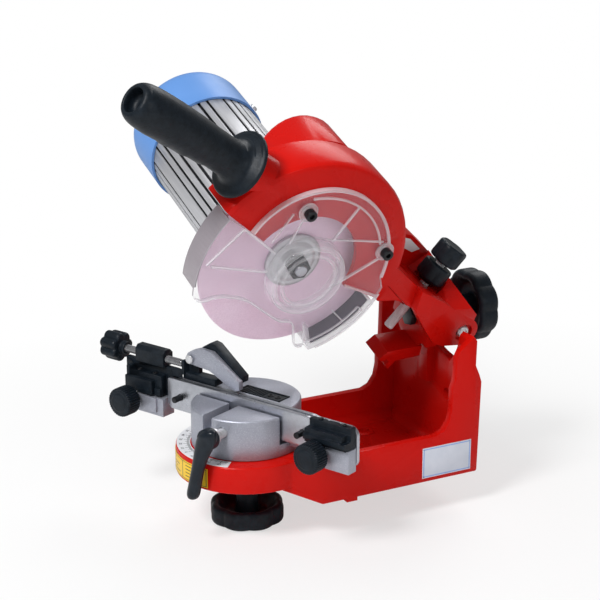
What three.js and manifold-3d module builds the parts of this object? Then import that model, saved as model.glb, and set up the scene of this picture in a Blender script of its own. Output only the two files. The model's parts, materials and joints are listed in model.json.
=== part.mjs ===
// Bench grinder for sharpening saw chain. Millimetres, +Z up.
// Frame: X to the operator's right, Y away from the operator, Z up.
// Parts are drawn with the vise swivel on the Z axis and the underside of the base at Z = 0.
// The finished group is then moved so that its origin is the middle of the bench face.
import * as THREE from 'three';
import { mergeVertices } from 'three/addons/utils/BufferGeometryUtils.js';
import Module from 'manifold-3d';

const wasm = await Module();
wasm.setup();

// ---------------------------------------------------------------- driving dimensions
const GAP = 0.3;

const BASE_HALF = 60;
const BASE_WALL = 6;
const BASE_FLOOR = 8;
const BASE_REAR = 171;
const SIDE_TOP = 36;
const COLUMN_TOP = 112;
const BACK_TOP = 78;
const BENCH_EDGE = 64;
const BENCH_MIDDLE = 100;
const LIP = 3;
const TABLE_R = 54;
const TABLE_UNDER = 15;
const TABLE_TOP = 36;

const TILT_Z = 116;
const TILT_ANGLE = 20;
const TONGUE_HALF = 8;
const TONGUE_R = 16;
const TONGUE_Y = [156, 166];
const PIN = [170, 5];
const PIN_R = 5;
const EAR_X = [19, 27];
const CHEEK_X = [27.4, 38];
const CHEEK_R = 12.5;

const WHEEL_Y = 16.5;
const WHEEL_Z = 84.6;
const WHEEL_X = 14.2;
const WHEEL_R = 72.5;
const WHEEL_T = 3.2;
const WHEEL_BORE = 11.1;
const HOUSING_R = 88;
const HOUSING_IN = 80;
const HOUSING_FRONT = 30;
const HOUSING_BACK = -8;
const OPENING_R = 45;
const GUARD_R = 71;
const GUARD_LEFT_R = 84;
const CHUTE_R = 76.5;
const GUARD_T = 2.6;
const BARREL_R = 45;
const BARREL_END = -140;
const CAP_R = 47.3;
const CAP_END = -184;
const SHAFT_R = 7;

const DRUM_R = 42;
const DRUM_TOP = 68;
const REAR_TOP = 72.5;
const VISE_ANGLE = 25;
const JAW_TOP = 74;
const KNOB_R = 29;
const PAWL_X = -52;
const PAWL_Z = 92;
const CAM_X = 10;
const CAM_Z = 58;

// ---------------------------------------------------------------- colours
const RED = 0xc8140c;
const BLUE = 0x6a9bde;
const ALU = 0xb4b6bc;
const CAST = 0x9698a5;
const BLACK = 0x1e272e;
const STEEL = 0xb8bcc2;
const ZINC = 0xd0d2d4;
const PINK = 0xe0bed7;
const CLEAR = 0xdcdce6;
const COPPER = 0x9a5a2c;
const IRON = 0x55585c;
const YELLOW = 0xe8c030;
const PAPER = 0xe8ebf0;
const LABEL = 0xcfd3de;

// ---------------------------------------------------------------- helpers
const rad = THREE.MathUtils.degToRad;

const ALONG_X = new THREE.Matrix4().set(0, 0, 1, 0, 1, 0, 0, 0, 0, 1, 0, 0, 0, 0, 0, 1);
const ALONG_Y = new THREE.Matrix4().set(1, 0, 0, 0, 0, 0, -1, 0, 0, 1, 0, 0, 0, 0, 0, 1);

function solidOf(geometry) {
  const bare = geometry.clone();
  bare.deleteAttribute('normal');
  bare.deleteAttribute('uv');
  const merged = mergeVertices(bare, 1e-4);
  const mesh = new wasm.Mesh({
    numProp: 3,
    vertProperties: new Float32Array(merged.attributes.position.array),
    triVerts: new Uint32Array(merged.index.array),
  });
  return new wasm.Manifold(mesh);
}

function geometryOf(solid) {
  const mesh = solid.getMesh();
  const geometry = new THREE.BufferGeometry();
  geometry.setAttribute('position', new THREE.BufferAttribute(new Float32Array(mesh.vertProperties), 3));
  geometry.setIndex(new THREE.BufferAttribute(new Uint32Array(mesh.triVerts), 1));
  return geometry;
}

function join(...parts) {
  return geometryOf(parts.map(solidOf).reduce((a, b) => a.add(b)));
}

function cut(body, ...tools) {
  return geometryOf(tools.map(solidOf).reduce((a, b) => a.subtract(b), solidOf(body)));
}

function common(a, b) {
  return geometryOf(solidOf(a).intersect(solidOf(b)));
}

function box(x0, x1, y0, y1, z0, z1) {
  const g = new THREE.BoxGeometry(x1 - x0, y1 - y0, z1 - z0);
  return g.translate((x0 + x1) / 2, (y0 + y1) / 2, (z0 + z1) / 2);
}

function outline(points) {
  return new THREE.Shape(points.map(([u, v]) => new THREE.Vector2(u, v)));
}

function extrude(points, depth, bevel = 0, segments = 1) {
  const inner = depth - 2 * bevel;
  const g = new THREE.ExtrudeGeometry(outline(points), {
    depth: inner,
    bevelEnabled: bevel > 0,
    bevelThickness: bevel,
    bevelSize: bevel,
    bevelOffset: -bevel,
    bevelSegments: segments,
    curveSegments: 12,
  });
  return g.translate(0, 0, bevel);
}

// A (y, z) outline carried from x0 to x1.
function slabX(points, x0, x1, bevel = 0) {
  return extrude(points, x1 - x0, bevel).applyMatrix4(ALONG_X).translate(x0, 0, 0);
}

// An (x, z) outline carried from y0 to y1.
function slabY(points, y0, y1, bevel = 0) {
  return extrude(points, y1 - y0, bevel).applyMatrix4(ALONG_Y).translate(0, y1, 0);
}

// An (x, y) outline carried from z0 to z1.
function slabZ(points, z0, z1, bevel = 0) {
  return extrude(points, z1 - z0, bevel).translate(0, 0, z0);
}

function loopArea(points) {
  return points.reduce((sum, [u, v], i) => {
    const [p, q] = points[(i + 1) % points.length];
    return sum + u * q - p * v;
  }, 0);
}

// A closed (radius, height) profile turned about the Z axis.
function turned(profile, segments = 48) {
  const ordered = loopArea(profile) < 0 ? [...profile].reverse() : profile;
  const points = ordered.map(([r, h]) => new THREE.Vector2(r, h));
  return new THREE.LatheGeometry(points, segments).rotateX(Math.PI / 2);
}

function rod(r, a, b, segments = 20, chamfer = 0) {
  const c = chamfer;
  if (c === 0) return turned([[0, a], [r, a], [r, b], [0, b]], segments);
  return turned([[0, a], [r - c, a], [r, a + c], [r, b - c], [r - c, b], [0, b]], segments);
}

function tube(ro, ri, a, b, segments = 28) {
  return turned([[ri, a], [ro, a], [ro, b], [ri, b], [ri, a]], segments);
}

// Turn a part built along Z so that it lies along +X or +Y.
function toX(g) {
  return g.rotateY(Math.PI / 2);
}

function toY(g) {
  return g.rotateX(-Math.PI / 2);
}

function circle(cx, cy, r, from = 0, to = 360, steps = 24) {
  const points = [];
  for (let i = 0; i <= steps; i += 1) {
    const a = rad(from + ((to - from) * i) / steps);
    points.push([cx + r * Math.cos(a), cy + r * Math.sin(a)]);
  }
  if (Math.abs(to - from) === 360) points.pop();
  return points;
}

function lobes(count, outer, inner, steps = 6) {
  const points = [];
  for (let i = 0; i < count * steps; i += 1) {
    const a = (2 * Math.PI * i) / (count * steps);
    const r = inner + (outer - inner) * Math.sqrt(0.5 + 0.5 * Math.cos(a * count));
    points.push([r * Math.cos(a), r * Math.sin(a)]);
  }
  return points;
}

const group = new THREE.Group();
group.name = 'bench_grinder';

function add(name, geometry, color, roughness = 0.5, metalness = 0, opacity = 1) {
  const plain = geometry.clone().translate(0, -BENCH_MIDDLE, 0);
  plain.deleteAttribute('normal');
  plain.deleteAttribute('uv');
  const welded = mergeVertices(plain, 1e-4);
  const flat = welded.toNonIndexed();
  flat.computeVertexNormals();
  const material = new THREE.MeshStandardMaterial({ color, roughness, metalness });
  if (opacity < 1) {
    material.transparent = true;
    material.opacity = opacity;
  }
  const mesh = new THREE.Mesh(flat, material);
  mesh.name = name;
  group.add(mesh);
}

// Head parts are drawn upright about the tilt axis, then leaned over with the head.
function inHead(g) {
  return g.rotateY(rad(TILT_ANGLE)).translate(0, 0, TILT_Z);
}

// Spindle parts are turned about X and set on the wheel centre.
function onSpindle(g) {
  return toX(g).translate(0, WHEEL_Y, WHEEL_Z);
}

function inVise(g) {
  return g.rotateZ(rad(VISE_ANGLE));
}

function aboutWheel(r, from, to, steps = 24) {
  return circle(WHEEL_Y, WHEEL_Z, r, from, to, steps);
}

// ---------------------------------------------------------------- base
function tablePlan() {
  return circle(0, 0, TABLE_R, -196, 16, 30);
}

function flankPlan() {
  const half = [[40, -36], [45, -10], [49, 4], [BASE_HALF, 35], [BASE_HALF, 66]];
  return [...half, ...half.map(([x, y]) => [-x, y]).reverse()];
}

function baseProfile() {
  return [
    [-30, TABLE_UNDER + 2], [-3, TABLE_UNDER + 2], [34, 0], [BENCH_EDGE - 10, 0],
    [BENCH_EDGE - 9, -LIP], [BENCH_EDGE, -LIP], [BENCH_EDGE, 0], [BASE_REAR - 1, 0],
    [BASE_REAR, 1], [173, 74], [171, 80], [167.5, 88], [168, COLUMN_TOP - 4], [165, COLUMN_TOP],
    [160, COLUMN_TOP - 5], [153, COLUMN_TOP - 10], [150.5, COLUMN_TOP - 15], [149.5, 78], [147, 72], [147, 56], [145, 46],
    [140, 39], [133, SIDE_TOP], [60, SIDE_TOP], [-30, TABLE_TOP],
  ];
}

function tongue() {
  const top = circle(0, TILT_Z, TONGUE_R, -20, 200, 20);
  const points = [[-TONGUE_HALF, 60], [TONGUE_HALF, 60], [TONGUE_HALF, TILT_Z - 14], ...top];
  return slabY([...points, [-TONGUE_HALF, TILT_Z - 14]], TONGUE_Y[0], TONGUE_Y[1]);
}

function baseCasting() {
  const inside = BASE_HALF - BASE_WALL;
  const frontDeck = slabZ(flankPlan(), -LIP, TABLE_TOP);
  const rear = box(-BASE_HALF, BASE_HALF, 64, 200, -LIP, 130);
  const plan = join(frontDeck, rear);
  const body = common(slabX(baseProfile(), -BASE_HALF, BASE_HALF), plan);
  const table = slabZ(tablePlan(), TABLE_UNDER, TABLE_TOP, 0.8);
  const whole = join(body, table);
  const pan = slabX(
    [[74, 30], [80, BASE_FLOOR + 4], [86, BASE_FLOOR], [158, BASE_FLOOR], [162, BASE_FLOOR + 4],
      [162, 140], [74, 140]],
    -inside, inside,
  );
  const deckStep = slabX([[56, 40], [56, 34], [75, 26], [75, 40]], -inside, inside);
  const notchRound = common(box(-inside, inside, 160, 180, BACK_TOP, 140),
    toY(rod(45, 150, 190, 40)).translate(0, 0, TILT_Z));
  const rightSill = slabY([[TONGUE_HALF, 70], [TONGUE_HALF, 93], [15, 89.5], [27, 86.2], [31, 83],
    [31, 70]], 155, 185);
  const backNotch = cut(notchRound, rightSill);
  const leftWall = slabX([[149.5, 70], [150.5, COLUMN_TOP - 2], [152.5, COLUMN_TOP], [166, COLUMN_TOP],
    [167, 70]], -BASE_HALF, -inside);
  const holes = [[-34, 123], [34, 123], [0, 150]].map(([x, y]) => (
    rod(4.2, -5, BASE_FLOOR + 5, 20).translate(x, y, 0)
  ));
  const wallHole = toY(rod(5, 140, 190, 20)).translate(28, 0, 55);
  const bore = rod(5.4, 5, 50);
  const stud = toY(rod(5.4, 140, 180, 24)).translate(0, 0, TILT_Z);
  const hollow = cut(whole, pan, deckStep, backNotch);
  return cut(join(hollow, leftWall, tongue()), ...holes, wallHole, bore, stud);
}

function arcBand(ri, ro, from, to, steps) {
  return [...circle(0, 0, ro, from, to, steps), ...circle(0, 0, ri, to, from, steps)];
}

function addBase() {
  add('base_casting', baseCasting(), RED, 0.3);
  const scale = slabZ(arcBand(43, 53.3, 188, 319, 28), TABLE_TOP + 0.05, TABLE_TOP + 0.3);
  add('swivel_scale', scale, PAPER, 0.5);
  const rim = slabZ(arcBand(TABLE_R + 0.1, TABLE_R + 0.4, 215, 302, 24), 17.2, 32.4);
  add('rim_label', rim, YELLOW, 0.5);
  const side = box(BASE_HALF + 0.05, BASE_HALF + 0.35, 121, 165, 3, 28);
  add('side_label', side, LABEL, 0.5);
}

// ---------------------------------------------------------------- lobed clamping knob
function clampKnob(height) {
  const body = extrude(lobes(8, KNOB_R, KNOB_R - 2.6, 4), height, 1.5);
  const dish = turned([[0, height - 9], [16, height - 9], [KNOB_R - 6, height + 1], [0, height + 1]], 28);
  const hub = turned([[0, 2], [9, 2], [8, height + 9], [0, height + 9]], 20);
  const bore = rod(5.3, -1, height + 12, 24);
  return cut(join(cut(body, dish), hub), bore);
}

// ---------------------------------------------------------------- tilt bracket
function earProfile() {
  const nose = circle(PIN[0], PIN[1], 11, -80, 80, 10);
  return [[146, -14], [160, -12], ...nose, [160, 14], [146, 12]];
}

function shelf() {
  const points = [
    [150, -30], [150, -20], [119, -20], [112, -26.5], [115.5, -29.5], [119.5, -28], [121.5, -30],
    [119.5, -34], [122.5, -38], [128, -31],
  ];
  return slabX(points, -6, 17);
}

function tiltBracket() {
  const face = slabY(circle(0, 0, 25, 0, 360, 28), 146, 155.5);
  const trim = box(-30, 30, 140, 160, 12, 40);
  const bar = box(-EAR_X[1], EAR_X[1], 146, 155.5, -14, 12);
  const ears = [1, -1].map((side) => {
    const x = side > 0 ? EAR_X : [-EAR_X[1], -EAR_X[0]];
    return slabX(earProfile(), x[0], x[1]);
  });
  const body = join(cut(face, trim), bar, ...ears, shelf());
  const pinHole = toX(rod(PIN_R + 0.3, -40, 40, 24)).translate(0, PIN[0], PIN[1]);
  const studHole = toY(rod(5.3, 140, 160, 24));
  return inHead(cut(body, pinHole, studHole));
}

function pivotPin(side) {
  const end = side > 0 ? CHEEK_X[1] : CHEEK_X[1] + 13;
  const pin = turned([
    [0, EAR_X[0] - 1], [PIN_R, EAR_X[0] - 1], [PIN_R, end - 1], [PIN_R - 1, end],
    [3, end], [2.2, end - 0.8], [0, end - 0.8],
  ], 18);
  const g = toX(pin);
  if (side < 0) g.rotateZ(Math.PI);
  return inHead(g.translate(0, PIN[0], PIN[1]));
}

function tiltStud() {
  const head = toY(rod(9, 140.7, 145.7, 6));
  const shank = toY(rod(5, 145.6, 203, 24));
  return inHead(join(head, shank));
}

function returnSpring() {
  const turns = 3;
  const wire = 1.1;
  const pitch = 2.6;
  const coil = 6.8;
  const around = 6;
  const steps = turns * 14;
  const vertices = [];
  const faces = [];
  for (let i = 0; i <= steps; i += 1) {
    const a = (2 * Math.PI * turns * i) / steps;
    const x = (pitch * turns * i) / steps;
    for (let j = 0; j < around; j += 1) {
      const b = (2 * Math.PI * j) / around;
      const r = coil + wire * Math.cos(b);
      vertices.push(x + wire * Math.sin(b), r * Math.cos(a), r * Math.sin(a));
    }
  }
  for (let i = 0; i < steps; i += 1) {
    for (let j = 0; j < around; j += 1) {
      const k = (j + 1) % around;
      const p = i * around;
      const q = p + around;
      faces.push(p + j, q + j, q + k, p + j, q + k, p + k);
    }
  }
  for (let j = 1; j < around - 1; j += 1) {
    const last = steps * around;
    faces.push(0, j, j + 1);
    faces.push(last, last + j + 1, last + j);
  }
  const g = new THREE.BufferGeometry();
  g.setAttribute('position', new THREE.BufferAttribute(new Float32Array(vertices), 3));
  g.setIndex(faces);
  return inHead(g.translate(-CHEEK_X[1] - 2 - wire * 2 - pitch * turns, PIN[0], PIN[1]));
}

function addBracket() {
  add('tilt_bracket', tiltBracket(), RED, 0.3);
  add('tilt_stud', tiltStud(), ZINC, 0.35, 0.8);
  const knob = toY(clampKnob(17)).rotateY(Math.PI);
  knob.rotateZ(Math.PI).translate(0, 210, TILT_Z);
  add('tilt_knob', knob, BLACK, 0.6);
  add('pivot_pin_right', pivotPin(1), ZINC, 0.35, 0.8);
  add('pivot_pin_left', pivotPin(-1), ZINC, 0.35, 0.8);
  add('return_spring', returnSpring(), STEEL, 0.35, 0.9);
}

// ---------------------------------------------------------------- wheel housing and arm
function sector(r, from, to) {
  return [[WHEEL_Y, WHEEL_Z], ...aboutWheel(r, from, to, 28)];
}

function drumShell() {
  const shell = onSpindle(turned([
    [14, HOUSING_BACK], [HOUSING_R - 6, HOUSING_BACK], [HOUSING_R, HOUSING_BACK + 6],
    [HOUSING_R, HOUSING_FRONT - 5], [HOUSING_R - 1.5, HOUSING_FRONT - 1.5],
    [HOUSING_R - 5, HOUSING_FRONT], [OPENING_R, HOUSING_FRONT], [OPENING_R, HOUSING_FRONT - 4],
    [HOUSING_IN, HOUSING_FRONT - 4], [HOUSING_IN, HOUSING_BACK + 4], [14, HOUSING_BACK + 4],
    [14, HOUSING_BACK],
  ], 56));
  const kept = slabX(sector(120, -28, 139), HOUSING_BACK - 1, HOUSING_FRONT + 1);
  const hub = onSpindle(tube(52, 14, HOUSING_BACK, HOUSING_BACK + 4, 36));
  return join(common(shell, kept), hub);
}

function handleSpot() {
  return { y: -35.5, z: 169, angle: 145 };
}

function alongHandle(g) {
  const spot = handleSpot();
  return toY(g).rotateX(rad(spot.angle)).translate(WHEEL_X, spot.y, spot.z);
}

function armProfile() {
  return [
    [84, 62], [92, 61], [115, 36], [136, 22], [150, 6], [176, -5], [181, 0], [182.4, 5],
    [180, 12.5], [163, 22], [126, 48], [102, 70], [84, 84],
  ];
}

function cheekProfile() {
  const nose = circle(PIN[0], PIN[1], CHEEK_R, -80, 70, 10);
  return [[120, 34], [135, 11], [144, -1], [153, -5], ...nose, [163, 24], [145, 38], [122, 52]];
}

function ribProfile() {
  return [
    [92, 62], [99, 88], [125, 72], [137, 68], [156, 50], [175, 24], [178, 14], [160, 17], [128, 40],
  ];
}

// A solid between an outline at x0 and another with as many points at x1.
function loftX(first, x0, second, x1) {
  const count = first.length;
  const flat = first.map(([u, v]) => new THREE.Vector2(u, v));
  const caps = THREE.ShapeUtils.triangulateShape(flat, []);
  const vertices = [];
  first.forEach(([y, z]) => vertices.push(x0, y, z));
  second.forEach(([y, z]) => vertices.push(x1, y, z));
  const faces = [];
  caps.forEach(([a, b, c]) => faces.push(a, c, b, a + count, b + count, c + count));
  for (let i = 0; i < count; i += 1) {
    const j = (i + 1) % count;
    faces.push(i, j, j + count, i, j + count, i + count);
  }
  const g = new THREE.BufferGeometry();
  g.setAttribute('position', new THREE.BufferAttribute(new Float32Array(vertices), 3));
  g.setIndex(faces);
  return g;
}

function hingeBlock() {
  const left = [[150, 18], [177, 16], [176, 23], [157, 50], [138, 38]];
  const right = [[150, 18], [177, 16], [178, 21], [172, 28], [152, 30]];
  return loftX(left, -14, right, CHEEK_X[1]);
}

function arm() {
  const slab = slabX(armProfile(), -CHEEK_X[1] + 8, 30);
  const cheeks = [slabX(cheekProfile(), CHEEK_X[0], CHEEK_X[1]),
    slabX(cheekProfile(), -CHEEK_X[1], -CHEEK_X[0])];
  const rib = slabX(ribProfile(), -CHEEK_X[1] + 8, -12);
  const slot = toX(rod(27.5, -CHEEK_X[0], CHEEK_X[0], 48)).translate(0, PIN[0], PIN[1]);
  const under = slabX([[140, 20], [150, 14], [150, -30], [190, -30], [190, 5], [170, 5]],
    -CHEEK_X[0], CHEEK_X[0]);
  const knobRoom = depthLine(rod(13.6, 43.6, 110, 32));
  const studRoom = box(-13, 13, 132, 152, -20, 18);
  return join(cut(join(slab, rib, hingeBlock()), slot, under, knobRoom, studRoom), ...cheeks);
}

function depthLine(g) {
  return toY(g).rotateX(rad(57.2)).translate(8, 120.5, -0.6);
}

function dome() {
  const bump = toX(turned([[0, -46], [26, -46], [30.5, -44], [32, -40], [32, -5], [0, -5]], 32));
  return bump.translate(0, 38, 136);
}

function wheelHousing() {
  const boss = alongHandle(rod(16, -32, -0.3, 32));
  const wheelRoom = onSpindle(rod(HOUSING_IN - 1, HOUSING_BACK + 4, HOUSING_FRONT - 4, 48));
  const barrelRoom = onSpindle(rod(BARREL_R + 1.8, -200, HOUSING_BACK, 40));
  const shaft = onSpindle(rod(14, -20, 40, 24));
  const opening = onSpindle(rod(OPENING_R, HOUSING_FRONT - 5, HOUSING_FRONT + 5, 48));
  const pin = toX(rod(PIN_R + 0.3, -60, 60, 28)).translate(0, PIN[0], PIN[1]);
  const sink = toX(rod(7.5, 35, 60, 28)).translate(0, PIN[0], PIN[1]);
  const screw = depthLine(rod(4.3, -20, 90, 24));
  const left = slabX(sector(140, 139, 170), HOUSING_BACK - 1, HOUSING_FRONT + 1);
  const bolts = guardBolts().map(([y, z]) => (
    toX(rod(2.3, HOUSING_FRONT - 6, HOUSING_FRONT + 1, 20)).translate(0, y, z)
  ));
  const switchRoom = box(-60, -28, 30, 46, 138, 158);
  const whole = join(drumShell(), cut(boss, left), arm(), dome());
  return inHead(cut(
    whole, wheelRoom, barrelRoom, shaft, opening, pin, sink, screw, switchRoom, ...bolts,
  ));
}

function guardBolts() {
  return [[WHEEL_Y - 4.5, WHEEL_Z + 52], [WHEEL_Y + 66, WHEEL_Z + 8]];
}

// ---------------------------------------------------------------- clear guard
function rimRadius(angle) {
  return GUARD_R - 10 * Math.max(0, (angle - 50) / 89) ** 2;
}

function aboutRim(inset, from, to, steps) {
  const points = [];
  for (let i = 0; i <= steps; i += 1) {
    const angle = from + ((to - from) * i) / steps;
    points.push(...aboutWheel(rimRadius(angle) - inset, angle, angle, 1).slice(0, 1));
  }
  return points;
}

function guardFace() {
  const c = ([dy, dz]) => [WHEEL_Y + dy, WHEEL_Z + dz];
  const lower = [[14, -69], [5, -68], [1, -46], [-12, -41], [-26, -30], [-41, -18], [-55, -12.5],
    [-66, -11], [-76, -12.5], [-82.5, -10]].map(c);
  return [
    ...aboutRim(0, 139, -14, 26), ...aboutWheel(CHUTE_R, -20, -76, 16),
    ...lower, ...aboutWheel(GUARD_LEFT_R, 185, 140, 16),
  ];
}

function band(ri, ro, from, to, x0, x1, steps = 16) {
  return slabX([...aboutWheel(ro, from, to, steps), ...aboutWheel(ri, to, from, steps)], x0, x1);
}

function clearGuard() {
  const x0 = HOUSING_FRONT + GAP;
  const x1 = x0 + GUARD_T;
  const face = slabX(guardFace(), x0, x1);
  const walls = [
    band(GUARD_LEFT_R - 2.5, GUARD_LEFT_R, 140.5, 181, 12, x1 - 0.2),
    band(CHUTE_R - 2.4, CHUTE_R, -75.5, -30, 10, x1 - 0.2),
    band(50, CHUTE_R - 1, -75.5, -73.5, 18, x1 - 0.2, 2),
    slabX([...aboutRim(0, -13, 138, 26), ...aboutRim(2.4, 138, -13, 26)], x1 - 0.2, x1 + 2),
    band(62, 63.5, 20, 85, x1 - 0.2, x1 + 1.4, 20),
  ];
  const dish = onSpindle(turned([
    [0, x1 + 9.5], [26, x1 + 9.5], [28, x0 + 0.2], [30.5, x0 + 0.2], [29.3, x1 + 10.5],
    [27.8, x1 + 12], [0, x1 + 12],
  ], 32));
  const well = onSpindle(rod(28.6, x0 - 1, x1 + 0.1, 32));
  const ribs = [30, 62, 160, 178].map((angle) => {
    const r1 = angle > 100 ? 86 : 68;
    return box(x1 - 0.2, x1 + 2, 32, r1, -0.9, 0.9).rotateX(rad(angle)).translate(0, WHEEL_Y, WHEEL_Z);
  });
  const edge = slabX([[WHEEL_Y + 64, WHEEL_Z + 4], [WHEEL_Y + 66, WHEEL_Z + 1],
    [WHEEL_Y + 8, WHEEL_Z - 36], [WHEEL_Y + 6, WHEEL_Z - 33]], x1 - 0.2, x1 + 3);
  const pads = guardBolts().map(([y, z]) => toX(rod(7.5, x0, x1 + 1.4, 20)).translate(0, y, z));
  const bolts = guardBolts().map(([y, z]) => toX(rod(2.5, x0 - 2, x1 + 9, 12)).translate(0, y, z));
  const heads = guardBolts().map(([y, z]) => (
    toX(rod(4.8, x1 + 1.4, x1 + 12)).translate(0, y, z)
  ));
  const body = join(cut(face, well), dish, ...walls, ...ribs, edge, ...pads);
  return inHead(cut(body, ...bolts, ...heads));
}

function sparkPlate() {
  const outside = CHUTE_R - 2.4 - GAP;
  return inHead(band(outside - 0.6, outside, -73, -31, 11, HOUSING_FRONT - GAP, 24));
}

function guardBolt(index) {
  const [y, z] = guardBolts()[index];
  const x1 = HOUSING_FRONT + GAP + GUARD_T + 1.4 + GAP;
  const head = rod(4.2, x1, x1 + 5, 28);
  const socket = rod(2.2, x1 + 2.4, x1 + 8, 6);
  const shank = rod(2, HOUSING_FRONT - 5, x1 + 1, 16);
  return inHead(toX(cut(join(head, shank), socket)).translate(0, y, z));
}

// ---------------------------------------------------------------- handle
function handle() {
  const body = alongHandle(turned([
    [0, 0.3], [23.7, 0.3], [24.8, 2], [24.2, 5], [19.5, 7.5], [14.6, 10], [13.6, 18], [14.4, 38],
    [15.4, 62], [15.4, 88], [14.4, 99], [12, 104], [8.5, 105], [8.5, 96], [0, 96],
  ], 26));
  const waves = [];
  for (let i = 0; i < 4; i += 1) {
    waves.push(alongHandle(toX(rod(5, -20, 20, 12)).translate(0, -18.9, 28 + i * 16)));
  }
  return inHead(cut(body, ...waves));
}

// ---------------------------------------------------------------- motor
function motorBarrel() {
  const end = HOUSING_BACK - GAP;
  const shell = onSpindle(turned([
    [16.3, end - 14], [16.3, end - 4], [13, end - 4], [13, end], [BARREL_R, end], [BARREL_R, BARREL_END],
    [41.4, BARREL_END], [41.4, end - 14], [16.3, end - 14],
  ], 36));
  const grooves = [];
  const count = 18;
  for (let i = 0; i < count; i += 1) {
    const g = box(BARREL_END - 2, end - 12, -0.8, 0.8, BARREL_R - 1.6, BARREL_R + 3);
    grooves.push(g.rotateX((2 * Math.PI * i) / count).translate(0, WHEEL_Y, WHEEL_Z));
  }
  return inHead(cut(shell, ...grooves));
}

function rearPlate() {
  return inHead(onSpindle(turned([
    [14.3, -139.6], [41.1, -139.6], [41.1, -131], [20, -131], [20, -127], [14.3, -127], [14.3, -139.6],
  ], 28)));
}

function glandLine(g) {
  return toY(g).rotateX(rad(-55)).translate(-158, WHEEL_Y, WHEEL_Z);
}

function endCap() {
  const a = BARREL_END - GAP;
  const skirt = a + 5;
  const shell = onSpindle(turned([
    [BARREL_R + 0.5, skirt], [CAP_R, skirt], [CAP_R, CAP_END + 11], [CAP_R - 3, CAP_END + 4],
    [CAP_R - 10, CAP_END], [0, CAP_END], [0, CAP_END + 2.6], [CAP_R - 11, CAP_END + 2.6],
    [CAP_R - 5.4, CAP_END + 6], [CAP_R - 2.6, CAP_END + 12], [CAP_R - 2.6, a], [BARREL_R + 0.5, a],
    [BARREL_R + 0.5, skirt],
  ], 40));
  const vents = [];
  for (let ring = 0; ring < 2; ring += 1) {
    const count = 6 + ring * 6;
    for (let i = 0; i < count; i += 1) {
      const v = box(CAP_END - 2, CAP_END + 4, -1.8, 1.8, 12 + ring * 12, 20 + ring * 12);
      vents.push(v.rotateX((2 * Math.PI * i) / count).translate(0, WHEEL_Y, WHEEL_Z));
    }
  }
  const gland = glandLine(rod(6.2, 40, 70, 20));
  return inHead(cut(shell, ...vents, gland));
}

function cableGland() {
  const body = turned([[0, 43.2], [6, 43.2], [6, 48], [9, 48], [9, 52], [7.5, 53], [6.5, 60],
    [3.6, 60], [3.6, 48], [0, 48]], 24);
  return inHead(glandLine(body));
}

function statorRing() {
  const ring = onSpindle(tube(41.1, 25.4, -108, -48, 32));
  const slots = [];
  for (let i = 0; i < 8; i += 1) {
    const s = box(-110, -46, -2, 2, 20, 33);
    slots.push(s.rotateX((2 * Math.PI * i) / 8).translate(0, WHEEL_Y, WHEEL_Z));
  }
  return inHead(cut(ring, ...slots));
}

function capScrew(angle) {
  const r = CAP_R + GAP;
  const head = turned([[0, r], [3.2, r], [3.2, r + 1.4], [2, r + 2.2], [0, r + 2.2]], 20);
  const placed = head.rotateX(-Math.PI / 2 + rad(angle));
  return inHead(placed.translate(BARREL_END + 0.8, WHEEL_Y, WHEEL_Z));
}

function motorShaft() {
  const bar = turned([
    [0, -170], [5, -170], [5, -128], [SHAFT_R, -127], [SHAFT_R, -12], [10.8, -7], [10.8, 17.6],
    [4.6, 18], [4.6, 32], [4, 33], [0, 33],
  ], 22);
  return inHead(onSpindle(bar));
}

function grindingWheel() {
  const a = WHEEL_X - WHEEL_T / 2;
  const b = WHEEL_X + WHEEL_T / 2;
  return inHead(onSpindle(turned([
    [WHEEL_BORE, a], [WHEEL_R, a], [WHEEL_R, b], [WHEEL_BORE, b], [WHEEL_BORE, a],
  ], 64)));
}

function hexNut(r, bore, a, b) {
  return cut(rod(r, a, b, 6), rod(bore, a - 1, b + 1, 24));
}

function coolingFan() {
  const hub = onSpindle(tube(16, 5.3, -166, -148, 32));
  const blades = [];
  for (let i = 0; i < 9; i += 1) {
    const blade = box(-165, -149, -0.9, 0.9, 14, 38).rotateX((2 * Math.PI * i) / 9);
    blades.push(blade.translate(0, WHEEL_Y, WHEEL_Z));
  }
  return inHead(join(hub, ...blades));
}

function addMotor() {
  add('motor_barrel', motorBarrel(), ALU, 0.4, 0.6);
  add('motor_rear_plate', rearPlate(), CAST, 0.5, 0.6);
  add('motor_end_cap', endCap(), BLUE, 0.45);
  add('cable_gland', cableGland(), BLACK, 0.6);
  add('stator', statorRing(), IRON, 0.5, 0.5);
  const front = onSpindle(tube(16, 7.3, -22, -12.6, 36));
  add('front_bearing', inHead(front), STEEL, 0.3, 0.9);
  const rear = onSpindle(tube(14, 5.3, -138.5, -129.5, 36));
  add('rear_bearing', inHead(rear), STEEL, 0.3, 0.9);
  add('cap_screw', capScrew(41), ZINC, 0.3, 0.9);
  add('motor_shaft', motorShaft(), STEEL, 0.3, 0.9);
  add('rotor', inHead(onSpindle(tube(24.8, SHAFT_R + 0.3, -106, -50, 48))), IRON, 0.5, 0.6);
  add('cooling_fan', coolingFan(), BLACK, 0.6);
  const inner = onSpindle(turned([
    [11.1, -3.4], [16, -3.4], [22, 6], [22, 12.3], [18, 12.3], [18, 11.5], [11.1, 11.5], [11.1, -3.4],
  ], 26));
  add('inner_flange', inHead(inner), STEEL, 0.35, 0.8);
  add('grinding_wheel', grindingWheel(), PINK, 0.9);
  const outer = onSpindle(turned([
    [4.9, 18.3], [11.2, 18.3], [11.2, 17], [18, 17], [18, 16.1], [22, 16.1], [22, 18.5], [14, 21],
    [4.9, 22], [4.9, 18.3],
  ], 26));
  add('outer_flange', inHead(outer), ALU, 0.4, 0.8);
  add('spindle_nut', inHead(onSpindle(hexNut(8.6, 4.9, 22.3, 30.5))), ZINC, 0.35, 0.8);
}

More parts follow.
